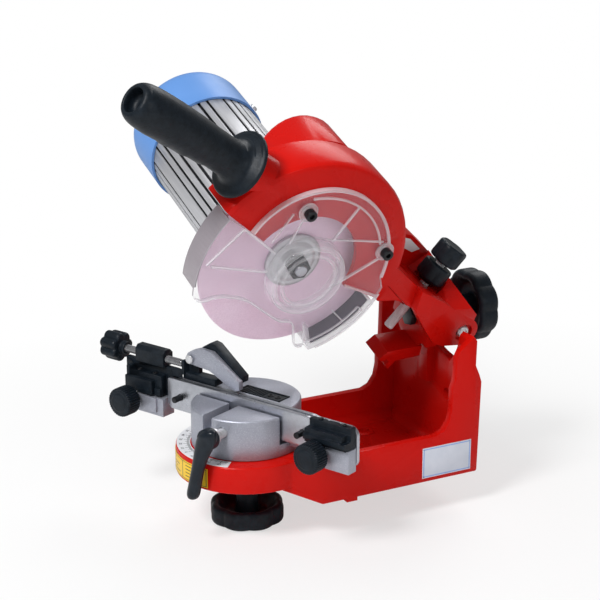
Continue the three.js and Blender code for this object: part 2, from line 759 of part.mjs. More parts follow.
// ---------------------------------------------------------------- switch
function addSwitch() {
  const body = box(-49, -28.3, 30.3, 45.7, 138.3, 157.7);
  const pocket = box(-60, -40, 33, 43, 140.5, 155.5);
  add('switch_body', inHead(cut(body, pocket)), BLACK, 0.6);
  const rocker = slabY([[5, -5.5], [5, 5.5], [-2, 6.4], [-0.5, 0], [-4, -6.2]], -4.6, 4.6);
  add('switch_rocker', inHead(rocker.translate(-47, 38, 148)), 0x1f7a3a, 0.5);
}

// ---------------------------------------------------------------- depth stop
function ribbedKnob(r, a, b, count) {
  const points = lobes(count, r, r - 1.2, 5);
  return extrude(points, b - a, 1.2, 1).translate(0, 0, a);
}

function depthScrew() {
  return inHead(depthLine(rod(4, -1.5, 75, 24, 0.8)));
}

function depthKnob() {
  const knob = ribbedKnob(12.4, 65.5, 81, 6);
  return inHead(depthLine(cut(knob, rod(4.3, 60, 75.3, 24))));
}

function depthLock() {
  const knob = ribbedKnob(12.4, 47.5, 62.5, 6);
  const cone = turned([[0, 45.4], [6.5, 45.4], [9.5, 48.5], [0, 48.5]], 24);
  return inHead(depthLine(cut(join(knob, cone), rod(4.8, 30, 80, 24))));
}

function addHead() {
  add('wheel_housing', wheelHousing(), RED, 0.3);
  const sticker = slabX([[106, 80], [126, 69], [136, 65], [147, 54], [140, 52], [112, 70]], -11.9, -11.6);
  add('depth_scale', inHead(sticker), PAPER, 0.5);
  add('clear_guard', clearGuard(), CLEAR, 0.1, 0, 0.3);
  add('spark_plate', sparkPlate(), IRON, 0.7);
  add('guard_bolt_top', guardBolt(0), BLACK, 0.4);
  add('guard_bolt_side', guardBolt(1), BLACK, 0.4);
  add('handle', handle(), BLACK, 0.6);
  addMotor();
  addSwitch();
  add('depth_screw', depthScrew(), ZINC, 0.35, 0.8);
  add('depth_knob', depthKnob(), BLACK, 0.6);
  add('depth_lock_knob', depthLock(), BLACK, 0.6);
}

// ---------------------------------------------------------------- vise
function viseDrum() {
  const bottom = TABLE_TOP + 0.6;
  const drum = turned([
    [0, bottom], [DRUM_R, bottom], [DRUM_R, DRUM_TOP - 1], [DRUM_R - 1, DRUM_TOP], [0, DRUM_TOP],
  ], 44);
  const slot = box(-60, 60, -10.4, 0.3, 46, 90);
  const rear = common(turned([[0, 50], [DRUM_R, 50], [DRUM_R, REAR_TOP - 1], [DRUM_R - 1, REAR_TOP],
    [0, REAR_TOP]], 44), box(-60, 60, 0.3, 60, 40, 90));
  const camSlot = box(-8, 1, -60, -8, 56, 90);
  const stud = toY(rod(4.3, -60, -9)).translate(CAM_X, 0, CAM_Z);
  const insert = box(-14, 28, 5, 19, REAR_TOP - 2.2, 90);
  const wings = [-1, 1].map((s) => box(Math.min(s * 36, s * 52), Math.max(s * 36, s * 52), 0.3, 8, 42, 56));
  const center = rod(5.3, 30, 50);
  return inVise(cut(join(drum, rear, ...wings), slot, camSlot, stud, insert, center));
}

function rearJaw() {
  const points = [
    [-66, 47], [66, 47], [68, 42], [103, 42], [106, 45], [106, 69], [102, JAW_TOP - 1], [70, JAW_TOP - 1],
    [66, JAW_TOP], [-66, JAW_TOP],
  ];
  const plate = slabY(points, -3.2, 0);
  const holes = [-59, 60].map((x) => toY(rod(2.9, -10, 10, 20)).translate(x, 0, 60));
  return inVise(cut(plate, ...holes));
}

function frontJaw() {
  const points = [[-69, 49], [-72, 52], [-72, 73], [-70, JAW_TOP], [66, JAW_TOP], [67, 73], [67, 49]];
  const plate = slabY(points, -8.4, -5.2);
  const holes = [-59, 60].map((x) => toY(rod(2.9, -20, 10, 20)).translate(x, 0, 60));
  return inVise(cut(plate, ...holes));
}

function jawStud(x) {
  const pin = toY(rod(2.5, -16, 6, 20));
  const nut = toY(rod(4.6, 0.4, 4, 6));
  return inVise(join(pin, nut).translate(x, 0, 60));
}

function stopRail() {
  const beam = slabX([[-3.2, 56], [1.2, 56], [1.2, 80], [-3.2, 80]], -120, -66.4);
  const step = box(-113, -78, -13, -3, 57, 73);
  return inVise(join(beam, step));
}

function leftFoot() {
  const body = join(box(-103, -74, -12, 1, 41, 55.7), box(-98, -80, -14, -11, 44, 55.7));
  return inVise(cut(body, toY(rod(3.3, -30, 10)).translate(-103, 0, 52)));
}

function knurled(x, z, y0, y1) {
  const points = lobes(14, 11.8, 11.1, 2);
  const knob = extrude(points, y1 - y0, 0.8, 1);
  return toY(knob).translate(x, y0, z);
}

function clampKnobSmall(x, z, back) {
  const body = knurled(x, z, -32, -18);
  const stem = toY(rod(3, -19, back, 20)).translate(x, 0, z);
  return inVise(join(body, stem));
}

function stopBlock() {
  const block = slabX([[-7.5, 80.4], [4, 80.4], [4, 90.5], [1, 93.5], [-5, 93.5], [-7.5, 90.5]], -106, -77);
  return inVise(cut(block, toX(rod(3.3, -130, -50, 20)).translate(0, -2, 86)));
}

function stopRod() {
  return inVise(toX(rod(3, -126, -60.3)).translate(0, -2, 86));
}

function stopKnob() {
  const knob = extrude(lobes(7, 12, 9.8, 4), 16.5, 1.5);
  const hub = rod(5.2, 15.5, 21, 24);
  return inVise(toX(cut(join(knob, hub), rod(3.3, 4, 30, 20))).translate(-140.5, -2, 86));
}

function pawlArm() {
  const lever = slabY([[-56.8, 92], [-54.5, 96.5], [-50, 99.5], [-43.5, 102], [-31, 101.5], [-4, 83.5],
    [-3.5, 77], [-8, 75.2], [-33, 86.5], [-48, 87.5], [-54, 88]], -3.8, 0.9);
  return inVise(cut(lever, toY(rod(2.3, -20, 20, 16)).translate(PAWL_X, 0, PAWL_Z)));
}

function stopCarriage() {
  const bar = box(-60, -28, -3.2, 6, JAW_TOP + 0.4, 79.6);
  const ear = slabY([[-60, 78], [-60, 92], [-56, 96], [-49, 96], [-47.6, 92], [-47.6, 78]], 1.3, 5.5);
  const seat = box(-60, -57.6, -5, 2, 78, 89.5);
  const hole = toY(rod(2.3, -20, 20, 16)).translate(PAWL_X, 0, PAWL_Z);
  return inVise(cut(join(bar, ear, seat), hole));
}

function pawlPin() {
  const shank = toY(rod(2, -4.5, 6.5, 16));
  const head = toY(rod(3.6, -6, -4.4, 16, 0.5));
  return inVise(join(shank, head).translate(PAWL_X, 0, PAWL_Z));
}

function pawlPad() {
  return inVise(slabY([[-45, 98.5], [-44, 102], [-36, 107], [-31, 106], [-5, 85.5], [-5.5, 81],
    [-14, 76], [-27, 84], [-38, 93]], 1.3, 10));
}

function rightBlock() {
  const block = join(box(67.6, 105, -16, -3.6, 58, 74), box(70, 102, -18, -15, 60, 66));
  return inVise(block);
}

function rightBracket() {
  const body = box(84, 105.5, -13, -3.6, 39.5, 57.6);
  return inVise(body);
}

function camLever() {
  const ball = turned([[0, -62], [7, -62], [8.5, -59], [8.5, -53], [7, -51], [0, -51]], 20);
  const hub = toY(ball).translate(CAM_X, 0, CAM_Z);
  const upper = slabY([[15, 67], [5, 66], [-1, 57], [1, 49], [12, 50], [19, 58]], -62, -52.5, 1.5);
  const grip = slabY([[2, 56], [-6, 14], [-4, 10.5], [1, 9.5], [5, 13], [12, 52]], -68, -57, 2);
  return inVise(cut(join(hub, upper, grip), toY(rod(4.3, -58, -40)).translate(CAM_X, 0, CAM_Z)));
}

function camStud() {
  return inVise(toY(rod(4, -57.6, -10.9)).translate(CAM_X, 0, CAM_Z));
}

function swivelStud() {
  return rod(5, -22, 45.6);
}

function addVise() {
  add('vise_drum', viseDrum(), CAST, 0.5, 0.5);
  add('rear_jaw', rearJaw(), ALU, 0.4, 0.7);
  add('swivel_stud', swivelStud(), ZINC, 0.35, 0.8);
  add('chain_rest', inVise(box(-13.7, 27.7, 5.3, 18.7, REAR_TOP - 1.9, REAR_TOP + 0.6)), BLACK, 0.5);
  add('stop_rail', stopRail(), BLACK, 0.5);
  add('left_foot', leftFoot(), CAST, 0.5, 0.5);
  add('right_block', rightBlock(), BLACK, 0.5);
  add('right_bracket', rightBracket(), CAST, 0.5, 0.5);
  add('front_jaw', frontJaw(), ALU, 0.4, 0.7);
  add('jaw_stud_left', jawStud(-59), ZINC, 0.35, 0.8);
  add('jaw_stud_right', jawStud(60), ZINC, 0.35, 0.8);
  add('cam_stud', camStud(), ZINC, 0.35, 0.8);
  add('cam_lever', camLever(), BLACK, 0.5);
  add('left_clamp_knob', clampKnobSmall(-103, 52, -1), BLACK, 0.6);
  add('right_clamp_knob', clampKnobSmall(80, 51, -4), BLACK, 0.6);
  add('stop_block', stopBlock(), BLACK, 0.5);
  add('stop_rod', stopRod(), ZINC, 0.35, 0.8);
  add('stop_knob', stopKnob(), BLACK, 0.6);
  add('stop_carriage', stopCarriage(), BLACK, 0.5);
  add('pawl_pin', pawlPin(), ZINC, 0.35, 0.8);
  add('pawl_arm', pawlArm(), CAST, 0.4, 0.6);
  add('pawl_pad', pawlPad(), BLACK, 0.5);
  const lock = clampKnob(15).translate(0, 0, -28);
  add('swivel_lock_knob', lock, BLACK, 0.6);
}

addBase();
addBracket();
addHead();
addVise();

export default group;
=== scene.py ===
import json
import math

import bmesh
import bpy
from mathutils import Matrix, Vector


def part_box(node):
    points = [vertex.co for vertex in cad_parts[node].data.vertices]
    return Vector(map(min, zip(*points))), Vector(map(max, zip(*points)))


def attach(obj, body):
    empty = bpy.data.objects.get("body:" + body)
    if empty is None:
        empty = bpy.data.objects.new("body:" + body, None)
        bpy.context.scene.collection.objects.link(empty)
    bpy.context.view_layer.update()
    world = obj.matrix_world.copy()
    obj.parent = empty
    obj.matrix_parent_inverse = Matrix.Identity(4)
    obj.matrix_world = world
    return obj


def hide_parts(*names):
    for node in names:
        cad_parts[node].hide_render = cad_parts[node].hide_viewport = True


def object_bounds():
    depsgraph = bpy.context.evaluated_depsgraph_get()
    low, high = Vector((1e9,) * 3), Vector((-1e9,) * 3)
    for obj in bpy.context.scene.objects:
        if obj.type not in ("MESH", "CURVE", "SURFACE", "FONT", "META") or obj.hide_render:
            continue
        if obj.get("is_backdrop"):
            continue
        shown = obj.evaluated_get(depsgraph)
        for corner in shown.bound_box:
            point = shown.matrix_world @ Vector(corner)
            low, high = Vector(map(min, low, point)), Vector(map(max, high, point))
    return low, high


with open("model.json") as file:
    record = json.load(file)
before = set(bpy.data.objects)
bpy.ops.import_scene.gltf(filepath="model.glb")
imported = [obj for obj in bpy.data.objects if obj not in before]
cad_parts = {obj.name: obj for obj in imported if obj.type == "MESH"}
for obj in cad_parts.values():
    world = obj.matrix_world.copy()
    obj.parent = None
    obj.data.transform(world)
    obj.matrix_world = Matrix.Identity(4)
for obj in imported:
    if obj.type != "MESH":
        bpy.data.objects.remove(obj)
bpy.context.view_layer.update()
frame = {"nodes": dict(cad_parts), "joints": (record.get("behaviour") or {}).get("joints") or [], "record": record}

MM = 0.001
joints = {j["name"]: j for j in frame["joints"]}
slot_of = {s["node"]: s["material_slot"] for s in frame["record"]["subparts"]}


# ------------------------------------------------------------------ frames of the moving parts
def axes(origin, x_axis, y_axis):
    """A matrix from millimetres in a part's own frame to metres in the object's frame."""
    x, y = Vector(x_axis).normalized(), Vector(y_axis).normalized()
    z = x.cross(y)
    turn = Matrix((x, y, z)).transposed().to_4x4()
    return Matrix.Translation(Vector(origin)) @ turn @ Matrix.Scale(MM, 4)


spindle_axis = joints["wheel_spin"]["axis"]
vise_x = joints["stop_set"]["axis"]
vise_y = (-vise_x[1], vise_x[0], 0)
swivel = joints["vise_swivel"]["pos_m"]
tilt = joints["head_tilt"]["pos_m"]
HEAD = axes((tilt[0], swivel[1], tilt[2]), spindle_axis, (0, 1, 0))
VISE = axes((swivel[0], swivel[1], 0), vise_x, vise_y)
SPINDLE = axes(joints["wheel_spin"]["pos_m"], spindle_axis, (0, 1, 0))
BASE = axes((swivel[0], swivel[1], 0), (1, 0, 0), (0, 1, 0))


# ------------------------------------------------------------------ materials
MATERIALS = {}


class Shader:
    """A Principled material, kept in MATERIALS, with helpers for the nodes that feed it."""

    def __init__(self, name, **constants):
        self.material = MATERIALS[name] = bpy.data.materials.new(name)
        self.material.use_nodes = True
        self.tree = self.material.node_tree
        self.bsdf = self.tree.nodes["Principled BSDF"]
        for key, value in constants.items():
            self.bsdf.inputs[key.replace("_", " ")].default_value = value
        self.place = self.node("ShaderNodeTexCoord").outputs["Object"]
        self.normal = None

    def node(self, kind, **settings):
        made = self.tree.nodes.new(kind)
        for key, value in settings.items():
            setattr(made, key, value)
        return made

    def link(self, a, b):
        self.tree.links.new(a, b)

    def stretched(self, scale, matrix):
        """Object coordinates, turned into the frame of matrix and scaled by three numbers."""
        turned = self.node("ShaderNodeMapping", vector_type="POINT")
        turned.inputs["Rotation"].default_value = matrix.to_3x3().normalized().inverted().to_euler()
        self.link(self.place, turned.inputs["Vector"])
        sized = self.node("ShaderNodeMapping", vector_type="POINT")
        sized.inputs["Scale"].default_value = scale
        self.link(turned.outputs["Vector"], sized.inputs["Vector"])
        return sized.outputs["Vector"]

    def noise(self, scale, detail=3.0, rough=0.55, vector=None):
        made = self.node("ShaderNodeTexNoise")
        made.inputs["Scale"].default_value = scale
        made.inputs["Detail"].default_value = detail
        made.inputs["Roughness"].default_value = rough
        self.link(vector or self.place, made.inputs["Vector"])
        return made.outputs["Fac"]

    def cells(self, scale):
        made = self.node("ShaderNodeTexVoronoi")
        made.inputs["Scale"].default_value = scale
        self.link(self.place, made.inputs["Vector"])
        return made.outputs["Distance"]

    def ramp(self, factor, stops):
        """A colour picked by factor from (position, colour) stops."""
        made = self.node("ShaderNodeValToRGB")
        elements = made.color_ramp.elements
        while len(elements) < len(stops):
            elements.new(0.5)
        for element, (at, color) in zip(elements, stops):
            element.position = at
            element.color = (*color, 1.0)
        self.link(factor, made.inputs["Fac"])
        return made.outputs["Color"]

    def between(self, factor, low, high, start=0.3, stop=0.7):
        """A value that runs from low to high while factor runs from start to stop."""
        made = self.node("ShaderNodeMapRange")
        made.inputs["From Min"].default_value = start
        made.inputs["From Max"].default_value = stop
        made.inputs["To Min"].default_value = low
        made.inputs["To Max"].default_value = high
        self.link(factor, made.inputs["Value"])
        return made.outputs["Result"]

    def blend(self, factor, a, b):
        """A mix of a and b, each either a colour or the output of a node."""
        made = self.node("ShaderNodeMix", data_type="RGBA")
        self.link(factor, made.inputs["Factor"])
        for value, socket in ((a, made.inputs[6]), (b, made.inputs[7])):
            if isinstance(value, tuple):
                socket.default_value = (*value, 1.0)
            else:
                self.link(value, socket)
        return made.outputs[2]

    def color(self, value):
        self.link(value, self.bsdf.inputs["Base Color"])

    def rough(self, value):
        self.link(value, self.bsdf.inputs["Roughness"])

    def bump(self, height, strength, distance=0.0003):
        """Adds a fine relief on top of those added before it."""
        made = self.node("ShaderNodeBump")
        made.inputs["Strength"].default_value = strength
        made.inputs["Distance"].default_value = distance
        self.link(height, made.inputs["Height"])
        if self.normal is not None:
            self.link(self.normal, made.inputs["Normal"])
        self.normal = made.outputs["Normal"]
        self.link(self.normal, self.bsdf.inputs["Normal"])


def mottled(name, tone, rough, relief=None, **constants):
    """A finish of up to three noises, each with its scale, its detail and what it varies:
    two colours, two roughnesses, and the strength and distance of a bump."""
    s = Shader(name, **constants)
    s.color(s.ramp(s.noise(*tone[:2]), [(0.3, tone[2]), (0.7, tone[3])]))
    s.rough(s.between(s.noise(*rough[:2]), *rough[2:]))
    if relief:
        s.bump(s.noise(*relief[:2]), *relief[2:])


def label(name, low, high):
    """A satin printed surface."""
    mottled(name, (60, 4, low, high), (150, 3, 0.32, 0.48), (500, 2, 0.05, 0.0001),
            Coat_Weight=0.12, Coat_Roughness=0.15, Specular_IOR_Level=0.3)


def red_paint():
    """Glossy paint with faint darker specks and a slight orange peel."""
    s = Shader("red_paint", Coat_Weight=0.07, Coat_Roughness=0.04, Specular_IOR_Level=0.08)
    broad = s.noise(9, 3)
    tone = s.ramp(broad, [(0.3, (0.53, 0.0045, 0.0025)), (0.7, (0.60, 0.0070, 0.0038))])
    specks = s.noise(420, 2, 0.7)
    s.color(s.blend(s.between(specks, 0, 0.15, 0.55, 0.8), tone, (0.42, 0.005, 0.004)))
    s.rough(s.between(s.noise(38, 4), 0.22, 0.38))
    s.bump(s.noise(95, 2), 0.04, 0.0004)
    s.bump(s.noise(700, 2), 0.04, 0.0002)


def barrel_aluminium(matrix):
    """Aluminium drawn along the X axis of matrix."""
    s = Shader("barrel_aluminium", Metallic=0.55)
    drawn = s.noise(60, 4, 0.6, s.stretched((0.35, 9, 9), matrix))
    s.color(s.ramp(drawn, [(0.25, (0.46, 0.465, 0.49)), (0.75, (0.64, 0.645, 0.67))]))
    s.rough(s.between(drawn, 0.34, 0.52))
    s.bump(drawn, 0.15, 0.0002)


def cast_aluminium():
    """Grainy grey castings with small bright specks that are painted glints."""
    s = Shader("cast_aluminium", Metallic=0.6)
    grain = s.noise(900, 4, 0.75)
    broad = s.noise(26, 4)
    tone = s.ramp(broad, [(0.3, (0.31, 0.325, 0.385)), (0.7, (0.40, 0.415, 0.48))])
    # Near-white specks in the colour: painted glints.
    painted_glints = s.between(s.cells(1300), 1, 0, 0.05, 0.28)
    tone = s.blend(s.between(grain, 0, 0.5, 0.45, 0.75), tone, (0.52, 0.535, 0.59))
    s.color(s.blend(painted_glints, tone, (0.80, 0.81, 0.85)))
    s.rough(s.between(grain, 0.36, 0.58))
    s.bump(grain, 0.3, 0.0003)
    s.bump(broad, 0.1, 0.001)


def black_plastic():
    """Moulded plastic with a mottled, slightly pitted skin."""
    s = Shader("black_plastic", Specular_IOR_Level=0.2)
    mottle = s.noise(210, 5, 0.7)
    tone = s.ramp(mottle, [(0.35, (0.0034, 0.0062, 0.0100)), (0.75, (0.0105, 0.0165, 0.0240))])
    s.color(tone)
    s.rough(s.between(s.noise(80, 3), 0.36, 0.55))
    s.bump(mottle, 0.28, 0.0003)
    s.bump(s.cells(900), 0.3, 0.0002)


def steel(name, dark, light, low, high, metallic=0.95):
    """Metal between two tones and two roughnesses."""
    s = Shader(name, Metallic=metallic)
    grain = s.noise(240, 4, 0.7)
    s.color(s.ramp(grain, [(0.3, dark), (0.7, light)]))
    s.rough(s.between(s.noise(90, 3), low, high))
    s.bump(grain, 0.08, 0.0002)


def pink_abrasive():
    """The coarse grit of the wheel."""
    s = Shader("pink_abrasive", Specular_IOR_Level=0.25)
    grain = s.cells(1500)
    broad = s.noise(30, 4)
    tone = s.ramp(broad, [(0.3, (0.92, 0.68, 0.83)), (0.7, (0.97, 0.77, 0.91))])
    s.color(s.blend(s.between(grain, 0, 0.5, 0.25, 0.6), tone, (0.74, 0.54, 0.68)))
    s.rough(s.between(grain, 0.8, 0.97))
    s.bump(grain, 0.5, 0.0003)
    s.bump(s.noise(600, 3), 0.4, 0.0002)


def clear_plastic(name, low, high, color, rough):
    """See-through plastic whose alpha runs from low, seen square on, to high at a glancing angle."""
    s = Shader(name, Coat_Weight=0.4, Coat_Roughness=0.03, IOR=1.49)
    haze = s.noise(40, 4)
    s.color(s.ramp(haze, [(0.3, tuple(0.92 * c for c in color)), (0.7, color)]))
    s.rough(s.between(s.noise(220, 3), rough, rough + 0.08))
    edge = s.node("ShaderNodeLayerWeight")
    edge.inputs["Blend"].default_value = 0.35
    s.link(s.between(edge.outputs["Facing"], low, high, 0.25, 0.95), s.bsdf.inputs["Alpha"])
    s.bump(s.noise(70, 3), 0.04, 0.0006)


red_paint()
barrel_aluminium(HEAD)
cast_aluminium()
black_plastic()
pink_abrasive()
mottled("blue_plastic", (14, 3, (0.105, 0.265, 0.62), (0.135, 0.305, 0.68)), (60, 3, 0.40, 0.55),
        (900, 2, 0.12, 0.0002), Coat_Weight=0.1, Coat_Roughness=0.25, Specular_IOR_Level=0.35)
mottled("green_plastic", (90, 3, (0.010, 0.16, 0.035), (0.018, 0.22, 0.05)), (120, 3, 0.3, 0.42),
        (900, 2, 0.06, 0.0002), Coat_Weight=0.2)
mottled("gloss_black", (160, 4, (0.0040, 0.0072, 0.0120), (0.0100, 0.0155, 0.0230)),
        (80, 3, 0.26, 0.42), (260, 4, 0.12, 0.0002),
        Coat_Weight=0.16, Coat_Roughness=0.08, Specular_IOR_Level=0.2)
# Near-black painted shade for the insides of the barrel's grooves.
mottled("groove_shadow", (90, 3, (0.010, 0.010, 0.012), (0.026, 0.026, 0.030)),
        (120, 3, 0.6, 0.8), (400, 3, 0.1, 0.0002), Specular_IOR_Level=0.15)
# A dark grey sheet behind the guard's chute, standing in for the shade seen through the guard there: painted
# shade.
mottled("dark_sheet", (50, 4, (0.055, 0.058, 0.075), (0.085, 0.088, 0.11)), (120, 3, 0.38, 0.55),
        (500, 3, 0.1, 0.0002))
mottled("ink", (300, 3, (0.012, 0.012, 0.014), (0.03, 0.03, 0.034)), (200, 2, 0.4, 0.55))
steel("zinc_steel", (0.50, 0.51, 0.53), (0.72, 0.73, 0.75), 0.26, 0.42, 0.6)
steel("bright_steel", (0.40, 0.415, 0.455), (0.49, 0.505, 0.55), 0.26, 0.38)
steel("core_steel", (0.06, 0.065, 0.075), (0.12, 0.125, 0.14), 0.4, 0.6)
steel("black_steel", (0.008, 0.009, 0.011), (0.024, 0.025, 0.029), 0.3, 0.46, 0.6)
# A lighter, less metallic copy of the zinc for the depth screw, which sits in shade under the arm: painted light.
steel("lightened_screw_zinc", (0.60, 0.61, 0.63), (0.80, 0.81, 0.83), 0.3, 0.42, 0.3)
steel("rod_steel", (0.20, 0.205, 0.215), (0.32, 0.325, 0.335), 0.24, 0.38, 0.8)
clear_plastic("clear_plastic", 0.085, 0.55, (0.78, 0.75, 0.84), 0.05)
# Guard edges and rib tops get a lighter, more opaque copy of the plastic: painted highlights along them.
clear_plastic("clear_edge_highlight", 0.46, 0.90, (0.90, 0.88, 0.93), 0.04)
clear_plastic("clear_dish", 0.08, 0.70, (0.84, 0.85, 0.90), 0.04)
# A lighter, more opaque copy of the plastic for the top of the dish's rings: painted highlight.
clear_plastic("clear_ring_highlight", 0.28, 0.80, (0.90, 0.90, 0.94), 0.04)
# A dark grey, nearly opaque copy of the clear plastic for the guard's left wall: painted shade.
clear_plastic("shaded_wall_plastic", 0.90, 0.98, (0.33, 0.295, 0.325), 0.34)
label("label_blue", (0.22, 0.33, 0.66), (0.30, 0.42, 0.74))
label("white_label", (0.76, 0.77, 0.80), (0.86, 0.87, 0.89))
label("yellow_label", (0.82, 0.51, 0.012), (0.91, 0.60, 0.03))
label("grey_label", (0.56, 0.60, 0.69), (0.66, 0.69, 0.77))


# ------------------------------------------------------------------ dressing the CAD nodes
SHARP_ANGLE = math.radians(32)


def shading_group():
    """Geometry nodes that shade a mesh smooth and keep only its real edges sharp."""
    group = bpy.data.node_groups.new("shade_real_edges", "GeometryNodeTree")
    group.interface.new_socket("Geometry", in_out="INPUT", socket_type="NodeSocketGeometry")
    group.interface.new_socket("Geometry", in_out="OUTPUT", socket_type="NodeSocketGeometry")
    make = group.nodes.new
    start, end = make("NodeGroupInput"), make("NodeGroupOutput")
    faces, edges = make("GeometryNodeSetShadeSmooth"), make("GeometryNodeSetShadeSmooth")
    edges.domain = "EDGE"
    edges.inputs["Shade Smooth"].default_value = False
    angle, test = make("GeometryNodeInputMeshEdgeAngle"), make("FunctionNodeCompare")
    test.inputs[1].default_value = SHARP_ANGLE
    group.links.new(start.outputs[0], faces.inputs["Geometry"])
    group.links.new(faces.outputs["Geometry"], edges.inputs["Geometry"])
    group.links.new(angle.outputs["Unsigned Angle"], test.inputs[0])
    group.links.new(test.outputs["Result"], edges.inputs["Selection"])
    group.links.new(edges.outputs["Geometry"], end.inputs[0])
    return group


SHADING = shading_group()
# Nodes whose look differs from the usual one of their slot.
FINISH_OF_NODE = {"tilt_stud": "black_steel"}
BEVEL_MM = {
    "base_casting": 1.6, "wheel_housing": 1.4, "tilt_bracket": 1.2, "vise_drum": 0.9, "pawl_arm": 0.6,
}
USUAL_BEVEL_MM = 0.35
BEVELLED_ANGLE = math.radians(34)
FLAT_ANGLE = math.radians(1.5)
WELD_DISTANCE = 0.00001


def dress(name):
    """Gives a CAD node its material, rounded edges and smooth shading."""
    node = frame["nodes"][name]
    node.data.materials.clear()
    node.data.materials.append(MATERIALS[FINISH_OF_NODE.get(name, slot_of[name])])
    if "custom_normal" in node.data.attributes:
        node.data.attributes.remove(node.data.attributes["custom_normal"])
    weld = node.modifiers.new("weld", "WELD")
    weld.merge_threshold = WELD_DISTANCE
    flat = node.modifiers.new("flat", "DECIMATE")
    flat.decimate_type = "DISSOLVE"
    flat.angle_limit = FLAT_ANGLE
    bevel = node.modifiers.new("bevel", "BEVEL")
    bevel.width = BEVEL_MM.get(name, USUAL_BEVEL_MM) * MM
    bevel.segments = 2
    bevel.limit_method = "ANGLE"
    bevel.angle_limit = BEVELLED_ANGLE
    bevel.use_clamp_overlap = True
    shade = node.modifiers.new("shade", "NODES")
    shade.node_group = SHADING


for node_name in frame["nodes"]:
    dress(node_name)


# ------------------------------------------------------------------ mesh tools
# Turns of a body drawn about Z, so that it lies along X or Y.
TO_X = Matrix(((0, 0, 1, 0), (1, 0, 0, 0), (0, 1, 0, 0), (0, 0, 0, 1)))
TO_Y = Matrix(((1, 0, 0, 0), (0, 0, 1, 0), (0, -1, 0, 0), (0, 0, 0, 1)))


def shift(x, y, z):
    return Matrix.Translation((x, y, z))


def turn(degrees, axis):
    return Matrix.Rotation(math.radians(degrees), 4, axis)


# The axis of the depth screw, which leans back through the arm.
DEPTH_LINE = HEAD @ shift(8, 120.5, -0.6) @ turn(57.2, "X") @ TO_Y
# The axis of the stop rod, along the jaws.
STOP_LINE = VISE @ shift(0, -2, 86) @ TO_X
# Pieces that are turned about the spindle.
ON_SPINDLE = SPINDLE @ TO_X


def polar(radius, angle):
    """The point at a radius and an angle in radians."""
    return radius * math.cos(angle), radius * math.sin(angle)


def spline(a, b, c, d, t):
    """A point of the Catmull-Rom curve between b and c."""
    return 0.5 * (2 * b + (c - a) * t + (2 * a - 5 * b + 4 * c - d) * t * t
                  + (3 * b - a - 3 * c + d) * t ** 3)


def bridge(bm, rings, closed=False):
    """Spans each ring of vertices and the next with faces; a ring of one vertex is a tip."""
    pairs = list(zip(rings, rings[1:])) + ([(rings[-1], rings[0])] if closed else [])
    for a, b in pairs:
        count = max(len(a), len(b))
        for k in range(count):
            j = (k + 1) % count
            corners = [a[k % len(a)], a[j % len(a)], b[j % len(b)], b[k % len(b)]]
            unique = list(dict.fromkeys(corners))
            if len(unique) > 2:
                bm.faces.new(unique)


def fillet(points, radius, closed=True, steps=4):
    """The outline with each corner swapped for a short curve."""
    count = len(points)
    made = []
    for i, p in enumerate(points):
        if not closed and i in (0, count - 1):
            made.append(tuple(p))
            continue
        corner = Vector(p)
        before, after = Vector(points[i - 1]), Vector(points[(i + 1) % count])
        near = [corner + (q - corner) * min(0.5, radius / max((q - corner).length, 1e-6))
                for q in (before, after)]
        for k in range(steps + 1):
            t = k / steps
            made.append(tuple((1 - t) ** 2 * near[0] + 2 * t * (1 - t) * corner + t * t * near[1]))
    return made


def revolve(profile, segments=72, closed=False, reach=None):
    """A ring or a solid turned about Z from (radius, height, share of the lobes) points."""
    bm = bmesh.new()
    rings = []
    for point in profile:
        r, z = point[0], point[1]
        share = point[2] if len(point) > 2 else 0.0
        if r < 1e-6:
            rings.append([bm.verts.new((0, 0, z))])
            continue
        ring = []
        for k in range(segments):
            a = 2 * math.pi * k / segments
            out = r + (reach(a) * share if reach else 0.0)
            ring.append(bm.verts.new((*polar(out, a), z)))
        rings.append(ring)
    bridge(bm, rings, closed)
    return bm


def prism(outline, low, high, bevel=0.0):
    """An outline drawn in X and Y, raised from low to high, with rounded rims."""
    bm = bmesh.new()
    base = [bm.verts.new((x, y, low)) for x, y in outline]
    top = [bm.verts.new((x, y, high)) for x, y in outline]
    count = len(base)
    bm.faces.new(base)
    bm.faces.new(top)
    for k in range(count):
        j = (k + 1) % count
        bm.faces.new([base[k], base[j], top[j], top[k]])
    bmesh.ops.recalc_face_normals(bm, faces=bm.faces)
    if bevel:
        rims = [e for e in bm.edges if abs(e.verts[0].co.z - e.verts[1].co.z) < 1e-6]
        bmesh.ops.bevel(bm, geom=rims, offset=bevel, segments=3, profile=0.5, affect="EDGES")
    return bm


def block(x, y, z, bevel=0.4):
    """A box between two limits along each axis, with rounded edges."""
    bm = bmesh.new()
    bmesh.ops.create_cube(bm, size=1)
    sizes = [b - a for a, b in (x, y, z)]
    middle = [(a + b) / 2 for a, b in (x, y, z)]
    bmesh.ops.transform(bm, matrix=shift(*middle) @ Matrix.Diagonal((*sizes, 1)), verts=bm.verts)
    bmesh.ops.bevel(bm, geom=bm.edges, offset=bevel, segments=3, profile=0.5, affect="EDGES")
    return bm


def loft(sections, segments=32, steps=4):
    """A smooth body through (x, y, z, half width, half depth) sections, stacked along -Z."""
    rows = []
    last = len(sections) - 1
    for i in range(last):
        near = [sections[max(0, min(last, i + k))] for k in (-1, 0, 1, 2)]
        for k in range(steps):
            rows.append([spline(*(n[c] for n in near), k / steps) for c in range(5)])
    rows.append(sections[last])
    bm = bmesh.new()
    rings = []
    for x, y, z, w, d in rows:
        ring = []
        for k in range(segments):
            a = 2 * math.pi * k / segments
            ring.append(bm.verts.new((x + w * math.cos(a), y + d * math.sin(a), z)))
        rings.append(ring)
    bridge(bm, rings)
    bm.faces.new(rings[0])
    bm.faces.new(rings[-1])
    return bm


